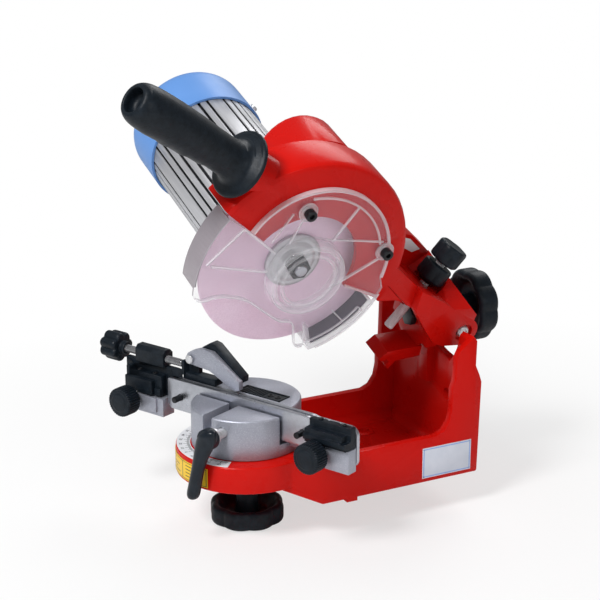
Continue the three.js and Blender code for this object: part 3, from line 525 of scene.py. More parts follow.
def merged(*parts):
    """One bmesh from several, each given alone or with a matrix."""
    whole = bmesh.new()
    for part in parts:
        bm, matrix = part if isinstance(part, tuple) else (part, Matrix.Identity(4))
        mesh = bpy.data.meshes.new("part")
        bm.to_mesh(mesh)
        bm.free()
        mesh.transform(matrix)
        whole.from_mesh(mesh)
        bpy.data.meshes.remove(mesh)
    return whole


SHARP_DEGREES = 35
TO_SPINDLE = SPINDLE.inverted()


def about_spindle(centre):
    """A point's radius, angle in degrees and distance along the spindle, in millimetres."""
    spot = TO_SPINDLE @ centre
    return math.hypot(spot.y, spot.z), math.degrees(math.atan2(spot.z, spot.y)) % 360, spot.x


def piece(name, bm, matrix, body, finish, sharp=SHARP_DEGREES):
    """Puts a bmesh drawn in millimetres in the scene, in place of the CAD node of its name if any."""
    bmesh.ops.recalc_face_normals(bm, faces=bm.faces)
    mesh = bpy.data.meshes.new(name)
    bm.to_mesh(mesh)
    bm.free()
    mesh.transform(matrix)
    mesh.polygons.foreach_set("use_smooth", [True] * len(mesh.polygons))
    mesh.set_sharp_from_angle(angle=math.radians(sharp))
    mesh.materials.append(MATERIALS[finish])
    obj = bpy.data.objects.new(name, mesh)
    bpy.context.scene.collection.objects.link(obj)
    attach(obj, body)
    if name in frame["nodes"]:
        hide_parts(name)
    return obj


def carved(obj, tools, operation="DIFFERENCE"):
    """Cuts closed bmeshes, placed by their matrices, out of a piece, or joins them to it."""
    for bm, matrix in tools:
        bmesh.ops.recalc_face_normals(bm, faces=bm.faces)
        mesh = bpy.data.meshes.new("cutter")
        bm.to_mesh(mesh)
        bm.free()
        mesh.transform(matrix)
        tool = bpy.data.objects.new("cutter", mesh)
        bpy.context.scene.collection.objects.link(tool)
        cut = obj.modifiers.new("cut", "BOOLEAN")
        cut.object = tool
        cut.solver = "EXACT"
        cut.operation = operation
        done = bpy.data.meshes.new_from_object(obj.evaluated_get(bpy.context.evaluated_depsgraph_get()))
        obj.modifiers.clear()
        obj.data = done
        bpy.data.objects.remove(tool)
    obj.data.set_sharp_from_angle(angle=math.radians(SHARP_DEGREES))


def painted(obj, *rules):
    """Gives the faces that pass a rule(centre, normal), in the piece's metres, another material."""
    for material, rule in rules:
        obj.data.materials.append(MATERIALS[material])
        index = len(obj.data.materials) - 1
        for face in obj.data.polygons:
            if face.material_index == 0 and rule(face.center, face.normal):
                face.material_index = index


# ------------------------------------------------------------------ knobs
SMALL_KNOB_R = 12.4
GRIP_R = 11.7


def lobed_reach(count, depth):
    """How far the outline of a lobed knob falls inside its full radius at an angle."""
    return lambda a: -depth * (1 - math.sqrt(0.5 + 0.5 * math.cos(a * count)))


def clamp_knob(name, body, matrix, height):
    """The large eight-lobed hand knob: a dished body round a tall hub, bored for its stud."""
    full = 29.0
    profile = [(5.3, 2, 0), (9, 2, 0), (12, 0, 0), (full - 2, 0, 1), (full, 2.5, 1),
               (full, height - 2.5, 1), (full - 2, height, 1), (full - 5.5, height, 0.6),
               (17, height - 9, 0), (9.3, height - 9, 0), (8, height + 9, 0), (5.3, height + 9, 0)]
    bm = revolve(fillet(profile, 2.2, True, 5), 160, True, lobed_reach(8, 1.9))
    piece(name, bm, matrix, body, "black_plastic")


def bored_knob(profile, count, depth):
    """A lobed knob with a hole right through it."""
    return revolve(fillet(profile, 1.2, True, 4), 96, True, lobed_reach(count, depth))


def add_knobs():
    """The seven knobs, each on the axis of its own joint."""
    clamp_knob("swivel_lock_knob", "swivel_clamp", BASE @ shift(0, 0, -28), 15)
    away = HEAD @ shift(0, 210, 0) @ turn(180, "Z") @ TO_Y
    clamp_knob("tilt_knob", "tilt_clamp", away, 17)
    rim = [(4.3, 65.5, 0), (11.4, 65.5, 1), (SMALL_KNOB_R, 67, 1), (SMALL_KNOB_R, 79.4, 1),
           (11.2, 81, 1), (6, 80.4, 0)]
    knob = revolve([(0, 75.6, 0), (4.3, 75.6, 0), *fillet(rim, 1.4, False, 4), (0, 80.4, 0)],
                   96, False, lobed_reach(6, 1.2))
    piece("depth_knob", knob, DEPTH_LINE, "depth_stop", "black_plastic")
    nut = [(4.8, 45.4, 0), (6.5, 45.4, 0), (9.5, 48.3, 0), (11.6, 48.4, 1), (SMALL_KNOB_R, 49.8, 1),
           (SMALL_KNOB_R, 61, 1), (11.2, 62.5, 1), (4.8, 62.5, 0)]
    piece("depth_lock_knob", bored_knob(nut, 6, 1.2), DEPTH_LINE, "depth_lock", "black_plastic")
    clamps = (("left", "left_clamp", -103, 52, -1), ("right", "right_clamp", 80, 51, -4))
    for side, body, x, z, back in clamps:
        grip = [(0, -32.0, 0), (7, -32.0, 0), (7.6, -31.4, 0), (10.6, -31.4, 1), (GRIP_R, -30.2, 1),
                (GRIP_R, -19.4, 1), (10.9, -18.2, 1), (3, -18, 0), (3, back, 0), (0, back, 0)]
        bm = revolve(fillet(grip, 0.8, False, 3), 216, False, lobed_reach(36, 0.7))
        piece(f"{side}_clamp_knob", bm, VISE @ shift(x, 0, z) @ TO_Y, body, "black_plastic")
    stop = [(3.3, 4, 0), (3.3, 21, 0), (5.2, 21, 0), (5.2, 16.5, 0), (10.5, 16.5, 1), (12, 14.8, 1),
            (12, 1.8, 1), (10.4, 0, 1), (0, 0, 0)]
    bm = revolve([(0, 4, 0), *fillet(stop, 1.2, False, 4)], 140, False, lobed_reach(7, 2.2))
    piece("stop_knob", bm, STOP_LINE @ shift(0, 0, -140.5), "stop_screw", "black_plastic")


# ------------------------------------------------------------------ handle and lever
def add_handle():
    """The hand grip: a thin disc, a narrow neck, finger hollows and an open end."""
    first_hollow, last_hollow, spacing, hollow_depth = 20, 84, 16, 0.055
    line = HEAD @ shift(14.2, -35.5, 169) @ turn(145, "X") @ TO_Y
    outline = [(0, 0.3), (23.9, 0.3), (24.8, 1.6), (24.5, 3.6), (19.8, 5.4), (15.6, 7.6), (13.5, 14),
               (13.9, 30), (15.1, 50), (15.7, 68), (15.6, 88), (14.7, 99), (12, 104.4), (9.2, 105),
               (8.5, 104), (8.5, 96), (0, 96)]
    profile = fillet(outline, 5, False, 6)
    bm = revolve(profile, 96)
    for v in bm.verts:
        along = v.co.z
        if first_hollow < along < last_hollow and math.hypot(v.co.x, v.co.y) > 10:
            facing = max(0.0, -v.co.y / math.hypot(v.co.x, v.co.y))
            wave = 0.5 - 0.5 * math.cos(2 * math.pi * (along - first_hollow) / spacing)
            v.co.xy *= 1 - hollow_depth * wave * facing ** 1.5
    piece("handle", bm, line, "head", "black_plastic", sharp=50)


def add_lever():
    """The cam lever, with its hub and the metal ring behind it."""
    sections = [
        (14.5, -57.0, 66.2, 1.5, 1.5), (13.2, -57.2, 65.2, 4.6, 3.6), (11.4, -57.4, 62.0, 7.2, 5.0),
        (9.4, -57.6, 57.0, 8.6, 5.4), (7.4, -58.6, 50.5, 7.6, 5.2), (5.6, -60.4, 42.0, 6.0, 4.8),
        (3.7, -61.8, 32.0, 5.2, 4.6), (1.9, -62.6, 22.0, 5.2, 4.8), (0.5, -62.9, 15.0, 5.2, 4.8),
        (-0.2, -62.9, 11.4, 4.0, 3.8), (-0.6, -62.9, 9.8, 1.6, 1.6),
    ]
    hub_side = [(0, 51.2), (7, 51.2), (8.2, 53), (8.2, 60), (0, 60)]
    ring = [(4.3, 48.9), (6.2, 48.9), (6.6, 49.6), (6.6, 51.4), (4.3, 51.4)]
    piece("cam_lever", loft(sections), VISE, "cam", "gloss_black", sharp=60)
    place = VISE @ shift(10, 0, 58) @ TO_Y @ Matrix.Diagonal((1, 1, -1, 1))
    piece("cam_hub", revolve(fillet(hub_side, 1, False), 48), place, "cam", "gloss_black")
    piece("cam_ferrule", revolve(fillet(ring, 0.3), 48, True), place, "cam", "zinc_steel")


# ------------------------------------------------------------------ motor and wheel
BARREL_R = 45.0
BARREL_BORE = 41.4
BARREL_BACK = -139.8
BARREL_FRONT = -8.5


def barrel_outline():
    """The (angle, radius) points of the finned barrel, where every fifth groove is missing."""
    grooves, missing = 40, 5
    pitch = 2 * math.pi / grooves
    half, lip, depth = 1.05 / BARREL_R, 0.45 / BARREL_R, 2.6
    groove = [(half + lip, 0), (half + 0.25 * lip, 0.18), (half, 0.6), (half * 0.9, depth)]
    land = pitch - 2 * (half + lip)
    points = []
    for k in range(grooves):
        middle = pitch * k
        if k % missing:
            points += [(middle - a, BARREL_R - r) for a, r in groove]
            points += [(middle + a, BARREL_R - r) for a, r in reversed(groove)]
        for m in range(0 if k % missing == 0 else 1, 6):
            points.append((middle + half + lip + land * m / 6, BARREL_R))
    return sorted(points)


def add_barrel():
    """The finned barrel, a tube with painted shade, near black, inside its grooves."""
    points = barrel_outline()
    chamfer = 0.5
    bm = bmesh.new()

    def ring(x, radii):
        return [bm.verts.new((x, *polar(r, a))) for (a, _), r in zip(points, radii)]
    full = [r for _, r in points]
    drawn_in = [r - chamfer for r in full]
    bore = [BARREL_BORE] * len(points)
    rings = [ring(BARREL_BACK, drawn_in), ring(BARREL_BACK + 0.6, full),
             ring(BARREL_FRONT - 0.6, full), ring(BARREL_FRONT, drawn_in),
             ring(BARREL_FRONT, bore), ring(BARREL_BACK, bore)]
    bridge(bm, rings, True)
    barrel = piece("motor_barrel", bm, SPINDLE, "head", "barrel_aluminium", sharp=40)

    # The faces deep in the grooves, which get the painted shade.
    def in_groove(centre, normal):
        out, _, along = about_spindle(centre)
        deep = BARREL_BORE + 0.5 < out < BARREL_R - 0.9
        return deep and BARREL_BACK + 1.8 < along < BARREL_FRONT - 1.5
    painted(barrel, ("groove_shadow", in_groove))


def add_motor_front():
    """The flange and the band at the barrel's front end."""
    band = [(45.15, -23), (46, -23), (46.5, -22.3), (46.5, -18.6), (45.9, -18), (45.9, -16),
            (46.5, -15.4), (46.5, -9.3), (45.15, -9.3)]
    piece("motor_band", revolve(fillet(band, 0.3), 96, True), ON_SPINDLE, "head", "cast_aluminium")
    plate = [(13, -12.3), (16.3, -12.3), (16.3, -22.3), (20, -22.3), (22, -13.5), (41.1, -12.3),
             (41.1, -8.8), (13, -8.8)]
    piece("motor_front_plate", revolve(fillet(plate, 0.8), 96, True), ON_SPINDLE, "head",
          "cast_aluminium")


def add_end_cap():
    """The blue cap: a thin shell with two rings of cooling slots."""
    outside = fillet([(47.3, -135.3), (47.3, -173), (44.3, -180), (37.3, -184)], 3.5, False, 6)
    inside = [(45.4, -135.3), (45.4, -140.3), (44.7, -140.3), (44.7, -172), (41.9, -178),
              (36.3, -181.4), (0, -181.4)]
    shell = revolve([(0, -184), *reversed(outside), *inside], 128)
    obj = piece("motor_end_cap", shell, ON_SPINDLE, "head", "blue_plastic")
    length, half_width = 8, 1.8
    cutters = []
    for inner, count in ((12, 6), (24, 12)):
        slots = []
        for k in range(count):
            slot = block((-190, -176), (-half_width, half_width), (inner, inner + length), 1.5)
            slots.append((slot, SPINDLE @ turn(360 * k / count, "X")))
        cutters.append((merged(*slots), Matrix.Identity(4)))
    carved(obj, cutters)


WHEEL_R = 72.5
WHEEL_MIDDLE = 14.2
WHEEL_HALF = 1.6
SPINDLE_BORE = 4.9


def add_wheel():
    """The grinding wheel with its bush, the outer flange and the spindle nut."""
    low, high = WHEEL_MIDDLE - WHEEL_HALF, WHEEL_MIDDLE + WHEEL_HALF
    stone = [(13.4, low), (WHEEL_R, low), (WHEEL_R, high), (13.4, high)]
    piece("grinding_wheel", revolve(fillet(stone, 0.35), 180, True), ON_SPINDLE, "spindle",
          "pink_abrasive")
    bush = [(11.1, low + 0.1), (13.3, low + 0.1), (13.3, high - 0.1), (11.1, high - 0.1)]
    piece("wheel_bush", revolve(fillet(bush, 0.2), 72, True), ON_SPINDLE, "spindle", "black_plastic")
    flange = [(SPINDLE_BORE, 18.3), (11.2, 18.3), (11.2, 17), (18, 17), (18, 16.1), (22, 16.1),
              (22, 18.5), (19.4, 19.6), (17, 19.4), (14, 21), (9, 21.4), (8.4, 22),
              (SPINDLE_BORE, 22)]
    piece("outer_flange", revolve(fillet(flange, 0.4), 96, True), ON_SPINDLE, "spindle",
          "barrel_aluminium")
    corner_r = 8.6
    hexagon = [polar(corner_r, math.pi * k / 3) for k in range(6)]
    nut = piece("spindle_nut", prism(hexagon, 22.3, 30.5, 0.5), ON_SPINDLE, "spindle", "black_steel")
    bore = [(0, 20), (SPINDLE_BORE, 20), (SPINDLE_BORE, 33), (0, 33)]
    carved(nut, [(revolve(bore, 48), ON_SPINDLE)])


# ------------------------------------------------------------------ guard
GUARD_BACK = 30.3
GUARD_FRONT = 32.9
# Radii of the guard's upper rim, its left and lower edges, and its dish.
UPPER_R = 71
LEFT_R = 84
LOWER_R = 76.5
DISH_R = 31


def around(radius, start, stop, steps=24):
    """Points on a circle about the spindle, from start to stop degrees."""
    return [polar(radius, math.radians(start + (stop - start) * k / steps)) for k in range(steps + 1)]


def rim_line(inset, start, stop, steps=40):
    """The guard's upper rim, which draws in a little towards its left end."""
    points = []
    for k in range(steps + 1):
        angle = start + (stop - start) * k / steps
        radius = UPPER_R - 10 * max(0, (angle - 50) / 89) ** 2 - inset
        points.append(polar(radius, math.radians(angle)))
    return points


def ribbon(points, width):
    """The outline of a strip of one width along a line of points."""
    left, right = [], []
    for k, p in enumerate(points):
        a, b = Vector(points[max(k - 1, 0)]), Vector(points[min(k + 1, len(points) - 1)])
        side = Vector((a.y - b.y, b.x - a.x)).normalized() * width / 2
        left.append(tuple(Vector(p) + side))
        right.append(tuple(Vector(p) - side))
    return left + right[::-1]


def smooth_line(points, steps=6):
    """A smooth curve through the points."""
    last = len(points) - 1
    made = []
    for i in range(last):
        near = [Vector(points[max(0, min(last, i + k))]) for k in (-1, 0, 1, 2)]
        made += [tuple(spline(*near, k / steps)) for k in range(steps)]
    return made + [points[last]]


def add_guard():
    """The clear guard: a plate with moulded ribs, a dish over the nut and walls round its edge."""
    lower = smooth_line([(14, -69), (5, -66), (0, -46), (-12, -41), (-26, -30), (-41, -18),
                         (-55, -12.5), (-66, -11), (-76, -12.5), (-82.5, -10)])
    face = [*rim_line(0, 139, -14), *around(LOWER_R, -20, -76, 20), *lower,
            *around(LEFT_R, 185, 140, 20)]
    back, front = GUARD_BACK, GUARD_FRONT
    guard = piece("clear_guard", prism(face, back, front, 0.4), ON_SPINDLE, "head", "clear_plastic")
    low, high = front - 0.3, front + 1.45
    strips = [
        prism(rim_line(0.05, 138.5, -13, 48) + rim_line(2.3, -13, 138.5, 48), low, high, 0.5),
        prism(ribbon(around(62.6, 14, 92, 30), 1.6), low, front + 1.4, 0.35),
        prism(ribbon(lower[2:-2], 1.5), low, front + 1.2, 0.35),
        prism(ribbon(around(75.4, -24, -72, 20), 1.7), low, high, 0.4),
        prism(ribbon(around(66.5, -37, -78, 16), 1.3), low, front + 1.2, 0.3),
        prism(ribbon(around(71.6, -37, -50.5, 8), 1.0), low, front + 1.1, 0.3),
    ]
    lines = [((66.5, 4.9), (24.6, -18), 1.8), ((63, 17), (14, 26.5), 1.2),
             ((19.8, 24), (36.1, 50), 1.6), ((-7, 48), (-15, 27), 1.2),
             ((-16, 52.5), (-29.5, 30.3), 1.2), ((-52, 44.5), (-25, 20.5), 2.0),
             ((-77.5, 18.8), (-53, 44.6), 1.3), ((-73.8, 17), (-29, 5.2), 1.6),
             ((37.8, -17.8), (67.5, -32.4), 1.6), ((9.5, -48), (12.6, -65.5), 1.4),
             ((31.9, -39.6), (43, -51.4), 1.2), ((53.4, -39.9), (57.6, -43.6), 1.0)]
    for a, b, width in lines:
        strips.append(prism(ribbon([a, b], width), low, front + 1.5, 0.35))
    walls = [
        prism(around(LEFT_R, 140.5, 181, 20) + around(81.5, 181, 140.5, 20), 12, front - 0.2, 0.5),
        prism(around(76.4, -75.5, -30, 20) + around(74.1, -30, -75.5, 20), 10, front - 0.2, 0.4),
        prism(around(75.5, -75.5, -73.5, 2) + around(56, -73.5, -75.5, 2), 24, front - 0.2, 0.3),
    ]
    dish = [(26, front + 9.5), (28, back + 0.1), (30.5, back + 0.1), (30.2, front + 4),
            (29.5, front + 4.4), (29.3, front + 10.6), (28.2, front + 12), (25.8, front + 12),
            (24.6, front + 10.7), (22.6, front + 10.7), (21.8, front + 11.8), (20, front + 11.8),
            (19.2, front + 10.7), (14, front + 10.6)]
    cup = revolve([(0, front + 9.2), *fillet(dish, 0.5, False, 3), (0, front + 10.7)], 96)
    well = revolve([(0, back - 1), (28.8, back - 1), (28.8, high + 1), (0, high + 1)], 96)
    holes, pads = [(well, ON_SPINDLE)], []
    for y, z in ((-4.5, 52), (66, 8)):
        spot = SPINDLE @ shift(0, y, z) @ TO_X
        bore = revolve([(0, back - 2), (2.6, back - 2), (2.6, high + 2), (0, high + 2)], 32)
        ring = [(2.9, back + 0.4), (7.4, back + 0.4), (7.4, front + 1.4), (6.6, front + 1.4),
                (6.2, front + 0.9), (5.2, front + 0.9), (4.9, front + 1.35), (2.9, front + 1.35)]
        holes.append((bore, spot))
        pads.append((revolve(fillet(ring, 0.2), 48, True), spot))
    carved(guard, holes)
    carved(guard, [(bm, ON_SPINDLE) for bm in strips + walls + [cup]] + pads, "UNION")
    axis = (SPINDLE.to_3x3() @ Vector((1, 0, 0))).normalized()

    # The guard's left wall, which carries the painted shade.
    def left_wall(centre, normal):
        out, angle, along = about_spindle(centre)
        return out > 80.5 and 138 < angle < 184 and along < front - 0.4

    def on_dish(centre, normal):
        out, _, along = about_spindle(centre)
        return out < DISH_R and along > front - 1

    # The top faces of the dish's rings, which carry the painted highlight.
    def on_ring(centre, normal):
        out, _, along = about_spindle(centre)
        return out < DISH_R and along > front + 11.2

    # Faces across the guard's edges and on its rib tops, which carry the painted highlight.
    def on_edge(centre, normal):
        return abs(normal.dot(axis)) < 0.8 or about_spindle(centre)[2] > front + 0.6
    painted(guard, ("shaded_wall_plastic", left_wall), ("clear_ring_highlight", on_ring), ("clear_dish", on_dish),
            ("clear_edge_highlight", on_edge))


# ------------------------------------------------------------------ threads
def threaded(low, high, radius, pitch, tip=0.8):
    """A rod with rolled ridges between low and high."""
    points = [(0, low), (radius - tip, low), (radius - 0.28, low + tip)]
    z = low + tip + pitch / 2
    while z + pitch < high:
        points += [(radius, z), (radius - 0.42, z + pitch / 2)]
        z += pitch
    points += [(radius - 0.2, high - 0.4), (radius - 0.6, high), (0, high)]
    return revolve(points, 40)


def add_threads():
    """The threaded depth screw and stop rod."""
    # The depth screw wears the lightened zinc: painted light against the shade under the arm.
    piece("depth_screw", threaded(-1.5, 75, 4, 1.25), DEPTH_LINE, "depth_stop", "lightened_screw_zinc", sharp=60)
    piece("stop_rod", threaded(-126, -60.3, 3, 1.0, 0.6), STOP_LINE, "stop_screw", "rod_steel", sharp=60)


# ------------------------------------------------------------------ scales and labels
TABLE_TOP = 36.3
LABEL_R = 54.4


def arc_plate(inner, outer, start, stop, low, high, steps=72):
    """A plate bent about Z, between two radii, two angles in degrees and two heights."""
    bm = bmesh.new()
    rows = []
    for k in range(steps + 1):
        a = math.radians(start + (stop - start) * k / steps)
        rows.append([bm.verts.new((*polar(r, a), z))
                     for r, z in ((inner, low), (outer, low), (outer, high), (inner, high))])
    bridge(bm, rows)
    bm.faces.new(rows[0])
    bm.faces.new(rows[-1])
    return bm


def digits(text, size):
    """Flat raised figures as a bmesh, centred on the origin."""
    curve = bpy.data.curves.new("digits", "FONT")
    curve.body = text
    curve.size = size
    curve.align_x = "CENTER"
    curve.align_y = "CENTER"
    curve.extrude = 0.02
    curve.resolution_u = 3
    temp = bpy.data.objects.new("digits", curve)
    bpy.context.scene.collection.objects.link(temp)
    mesh = bpy.data.meshes.new_from_object(temp.evaluated_get(bpy.context.evaluated_depsgraph_get()))
    bm = bmesh.new()
    bm.from_mesh(mesh)
    bmesh.ops.remove_doubles(bm, verts=bm.verts, dist=1e-4)
    bpy.data.objects.remove(temp)
    bpy.data.curves.remove(curve)
    bpy.data.meshes.remove(mesh)
    return bm


def add_scale():
    """The white scale on the table, with a line for each degree and a figure for each ten."""
    plate = arc_plate(43, 53.3, 188, 319, TABLE_TOP - 0.25, TABLE_TOP, 96)
    piece("swivel_scale", plate, BASE, "base", "white_label")
    forwards, tick_r, figure_r = 270, 43.6, 50.4
    parts = []
    for step in range(-50, 47):
        aim = turn(forwards + step, "Z")
        reach = 4.6 if step % 10 == 0 else 3.4 if step % 5 == 0 else 2.0
        half = 0.21 if step % 5 == 0 else 0.13
        tick = block((tick_r, tick_r + reach), (-half, half), (TABLE_TOP, TABLE_TOP + 0.06), 0.02)
        parts.append((tick, aim))
        if step % 10 == 0:
            spot = aim @ shift(figure_r, 0, TABLE_TOP + 0.04) @ turn(90, "Z")
            parts.append((digits(str(abs(step)), 3.4), spot))
    piece("scale_marks", merged(*parts), BASE, "base", "ink")


def rim_bar(start, stop, low, high):
    """A raised bar on the rim label."""
    return arc_plate(LABEL_R, LABEL_R + 0.05, start, stop, low, high, 24)


def add_labels():
    """The rim label with plain bars for its lines, and the border of the side label."""
    plate = arc_plate(LABEL_R - 0.3, LABEL_R, 215, 302, 17.2, 32.4, 72)
    piece("rim_label", plate, BASE, "base", "yellow_label")
    low, high = 17.9, 31.7
    bars = [rim_bar(216, 301, high - 0.4, high), rim_bar(216, 301, low, low + 0.4)]
    for edge in (216, 243, 272, 300.4):
        bars.append(rim_bar(edge, edge + 0.6, low, high))
    for start in (221, 248, 277):
        for row, length in enumerate((20, 14, 18, 9)):
            height = 20.6 + row * 2.7
            bars.append(rim_bar(start, start + length, height, height + 0.55))
    piece("rim_label_marks", merged(*bars), BASE, "base", "ink")
    low, high = (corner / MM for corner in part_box("side_label"))
    inset, width = 0.8, 0.9
    left, right, under, over = low.y + inset, high.y - inset, low.z + inset, high.z - inset
    border = []
    for y, z in (((left, right), (under, under + width)), ((left, right), (over - width, over)),
                 ((left, left + width), (under, over)), ((right - width, right), (under, over))):
        border.append(block((high.x - 0.05, high.x + 0.03), y, z, 0.02))
    piece("side_label_border", merged(*border), Matrix.Scale(MM, 4), "base", "label_blue")


# ------------------------------------------------------------------ vise details
def along_jaw(points, back, front, radius, bevel):
    """A plate in the vise's frame from (x, height) points, between two depths."""
    outline = fillet([(x, -z) for x, z in points], radius)
    return prism(outline, back, front, bevel)


def add_jaws():
    """The two jaw plates, with holes for their studs."""
    top = 74
    rear = [(-66, 47), (66, 47), (68, 42), (103, 42), (106, 45), (106, 69), (102, top - 1),
            (70, top - 1), (66, top), (-66, top)]
    front = [(-69, 49), (-72, 52), (-72, 73), (-70, top), (66, top), (67, 73), (67, 49)]
    hole_spots = [VISE @ shift(x, 0, 60) @ TO_Y for x in (-59, 60)]
    for name, body, points, depth in (("rear_jaw", "vise", rear, (-3.2, 0)),
                                      ("front_jaw", "front_jaw", front, (-8.4, -5.2))):
        plate = piece(name, along_jaw(points, *depth, 2.6, 0.35), VISE @ TO_Y, body, "bright_steel")
        bore = [(0, -20), (2.9, -20), (2.9, 10), (0, 10)]
        carved(plate, [(revolve(bore, 36), spot) for spot in hole_spots])


def socket_screw(radius, height):
    """A round head with a round recess, standing on z = 0."""
    points = [(0, 0), (radius, 0), (radius, height), (radius * 0.5, height),
              (radius * 0.5, height * 0.4), (0, height * 0.4)]
    return revolve(fillet(points, 0.2, False, 3), 30)


def add_block_screws():
    """The small screws in the tops of the black blocks."""
    spots = [(76, -6.4, 74), (97, -6.4, 74), (-87, -6, 73), (-103, -6, 73)]
    heads = [(socket_screw(1.9, 0.9), shift(*spot)) for spot in spots]
    piece("block_screws", merged(*heads), VISE, "vise", "black_steel")


def add_blocks():
    """The two stepped black blocks that carry the clamp knobs."""
    rail = piece("stop_rail", block((-120, -66.4), (-3.2, 1.2), (56, 80)), VISE, "vise",
                 "black_plastic")
    steps = [block((-113, -78), (-9, -2), (57, 73)), block((-113, -85), (-13, -8), (57, 68.5)),
             block((-113, -110), (-11, -2.4), (60, 76)), block((-84, -78), (-11, -8), (57, 63))]
    carved(rail, [(bm, VISE) for bm in steps], "UNION")
    profile = [(-16, 58), (-16, 60), (-18, 60.6), (-18, 64.4), (-16, 65), (-16, 68.6), (-9.4, 69),
               (-9.4, 74), (-3.6, 74), (-3.6, 58)]
    right = piece("right_block", prism(fillet(profile, 0.5), 67.6, 105, 0.35), VISE @ TO_X, "vise",
                  "black_plastic")
    notches = [block((x, x + 2.4), (-4.9, 0), (71.8, 80)) for x in (80, 91)]
    notches.append(block((101.5, 110), (-30, -9.8), (64, 80)))
    carved(right, [(bm, VISE) for bm in notches])
    guide = block((-70, -60.05), (-4.9, -3.6), (74.6, 82), 0.3)
    piece("carriage_guide", guide, VISE, "carriage", "black_plastic")


def add_pan_details():
    """Rounded corners along the pan of the base, and pads round its mounting holes."""
    radius, floor_z, back, side = 9, 8.06, 161.94, 53.94
    arc = [math.radians(-90 + 90 * k / 12) for k in range(13)]
    curve = [(radius * math.cos(a) - radius, radius * math.sin(a) + radius) for a in arc]
    rear = [(back + p, floor_z + q) for p, q in curve] + [(back, floor_z + 4), (back - 4, floor_z)]
    obj = piece("pan_corners", prism(rear, -side, side), BASE @ TO_X, "base", "red_paint")
    flank = [(side + p, -(floor_z + q)) for p, q in curve] + [(side, -floor_z)]
    mirrored = [(-x, z) for x, z in flank]
    runs = [(prism(outline, 88, back - 2), BASE @ TO_Y) for outline in (flank, mirrored)]
    carved(obj, runs, "UNION")
    pad = [(4.6, 8.05), (8.5, 8.05), (7.6, 9.4), (4.6, 9.4)]
    for name, x in (("mount_pad_left", -34), ("mount_pad_right", 34)):
        piece(name, revolve(fillet(pad, 0.3), 48, True), BASE @ shift(x, 123, 0), "base", "red_paint")


def add_arm_web():
    """A cast web under the arm, beside the opening of the wheel housing."""
    outline = [(86, 56), (88.5, 43.5), (105, 41.5), (114.5, 36), (92, 60.5)]
    piece("arm_web", prism(fillet(outline, 1.5), 23.5, 29.8, 0.6), HEAD @ TO_X, "head", "red_paint")


def add_chain_rest():
    """The ribbed tray between the jaws, and its two screws."""
    left, right, near, far, foot, top, wall = -13.7, 27.7, 5.3, 18.7, 70.6, 73.1, 1.4
    parts = [block((left, right), (near, far), (foot, top - 0.7), 0.4)]
    for x, y in (((left, right), (near, near + wall)), ((left, right), (far - wall, far)),
                 ((right - wall, right), (near, far)), ((left, left + wall), (near, far))):
        parts.append(block(x, y, (foot, top), 0.3))
    for k in range(9):
        x = -10.2 + k * 2.3
        parts.append(block((x, x + 1.1), (near + 1.1, far - 1.1), (foot + 0.4, top - 0.1), 0.25))
    piece("chain_rest", merged(*parts), VISE, "vise", "black_plastic")
    head = [(0, 71.2), (2.5, 71.2), (2.5, 73.0), (1.2, 73.0), (1.2, 72.0), (0, 72.0)]
    screws = [(revolve(fillet(head, 0.25, False, 3), 36), shift(x, 12, 0)) for x in (14.5, 21.5)]
    piece("chain_rest_screws", merged(*screws), VISE, "vise", "black_steel")


add_knobs()
add_handle()
add_lever()
add_barrel()
add_motor_front()
add_end_cap()
add_wheel()
add_guard()
add_threads()
add_scale()
add_labels()
add_chain_rest()
add_jaws()
add_block_screws()
add_blocks()
add_pan_details()
add_arm_web()


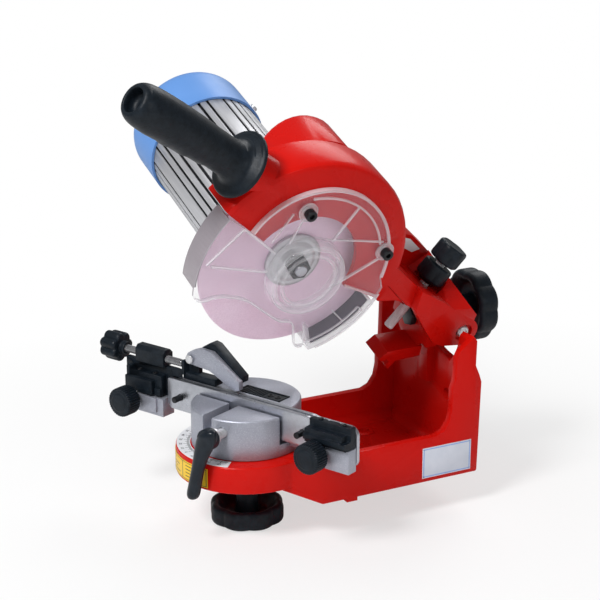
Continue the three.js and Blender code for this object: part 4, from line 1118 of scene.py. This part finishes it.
# ------------------------------------------------------------------ floor, light and camera
def floor():
    """A pale floor that fades to plain white away from the object."""
    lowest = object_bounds()[0].z
    bm = bmesh.new()
    bmesh.ops.create_grid(bm, x_segments=2, y_segments=2, size=6.0)
    mesh = bpy.data.meshes.new("floor")
    bm.to_mesh(mesh)
    bm.free()
    obj = bpy.data.objects.new("floor", mesh)
    obj.location.z = lowest - 0.0005
    bpy.context.scene.collection.objects.link(obj)
    s = Shader("floor", Specular_IOR_Level=0.1)
    s.color(s.ramp(s.noise(3, 2), [(0.3, (0.86, 0.86, 0.86)), (0.7, (0.89, 0.89, 0.89))]))
    s.rough(s.between(s.noise(40, 2), 0.7, 0.85))
    distance = s.node("ShaderNodeVectorMath", operation="LENGTH")
    s.link(s.place, distance.inputs[0])
    white = s.node("ShaderNodeEmission")
    white.inputs["Color"].default_value = (1, 1, 1, 1)
    path = s.node("ShaderNodeLightPath")
    seen = s.node("ShaderNodeMath", operation="MULTIPLY")
    s.link(s.between(distance.outputs["Value"], 0.6, 1, 0.16, 0.5), seen.inputs[0])
    s.link(path.outputs["Is Camera Ray"], seen.inputs[1])
    mix = s.node("ShaderNodeMixShader")
    s.link(seen.outputs["Value"], mix.inputs["Fac"])
    s.link(s.bsdf.outputs["BSDF"], mix.inputs[1])
    s.link(white.outputs["Emission"], mix.inputs[2])
    s.link(mix.outputs["Shader"], s.tree.nodes["Material Output"].inputs["Surface"])
    mesh.materials.append(s.material)
    obj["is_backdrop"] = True


def area(name, spot, target, size, power):
    """A round area light at spot, aimed at target."""
    light = bpy.data.lights.new(name, "AREA")
    light.shape = "DISK"
    light.size = size
    light.energy = power
    obj = bpy.data.objects.new(name, light)
    obj.location = spot
    obj.rotation_euler = (Vector(target) - Vector(spot)).to_track_quat("-Z", "Y").to_euler()
    bpy.context.scene.collection.objects.link(obj)


def studio():
    """Soft white light all round with three lamps, and pure white behind the object."""
    world = bpy.data.worlds.new("studio")
    world.use_nodes = True
    tree = world.node_tree
    soft = tree.nodes["Background"]
    soft.inputs["Color"].default_value = (1, 1, 1, 1)
    soft.inputs["Strength"].default_value = 0.27
    seen = tree.nodes.new("ShaderNodeBackground")
    seen.inputs["Color"].default_value = (1, 1, 1, 1)
    path = tree.nodes.new("ShaderNodeLightPath")
    mix = tree.nodes.new("ShaderNodeMixShader")
    tree.links.new(path.outputs["Is Camera Ray"], mix.inputs["Fac"])
    tree.links.new(soft.outputs["Background"], mix.inputs[1])
    tree.links.new(seen.outputs["Background"], mix.inputs[2])
    tree.links.new(mix.outputs["Shader"], tree.nodes["World Output"].inputs["Surface"])
    bpy.context.scene.world = world
    middle = (0.0, -0.03, 0.13)
    area("key", (0.45, -1.05, 1.35), middle, 0.5, 23)
    area("fill", (1.5, 0.1, 0.6), middle, 0.8, 3)
    area("back", (-0.8, 0.9, 1.2), middle, 0.9, 9)
    bpy.context.scene.view_settings.view_transform = "Standard"


def camera():
    """The camera fitted to the photo."""
    data = bpy.data.cameras.new("camera")
    data.lens = 102
    data.sensor_width = 36
    obj = bpy.data.objects.new("camera", data)
    obj.location = (1.087, -0.6216, 0.5338)
    aim = Vector((0.011, -0.05957, 0.14597)) - obj.location
    obj.rotation_euler = aim.to_track_quat("-Z", "Y").to_euler()
    bpy.context.scene.collection.objects.link(obj)
    bpy.context.scene.camera = obj


floor()
studio()
camera()
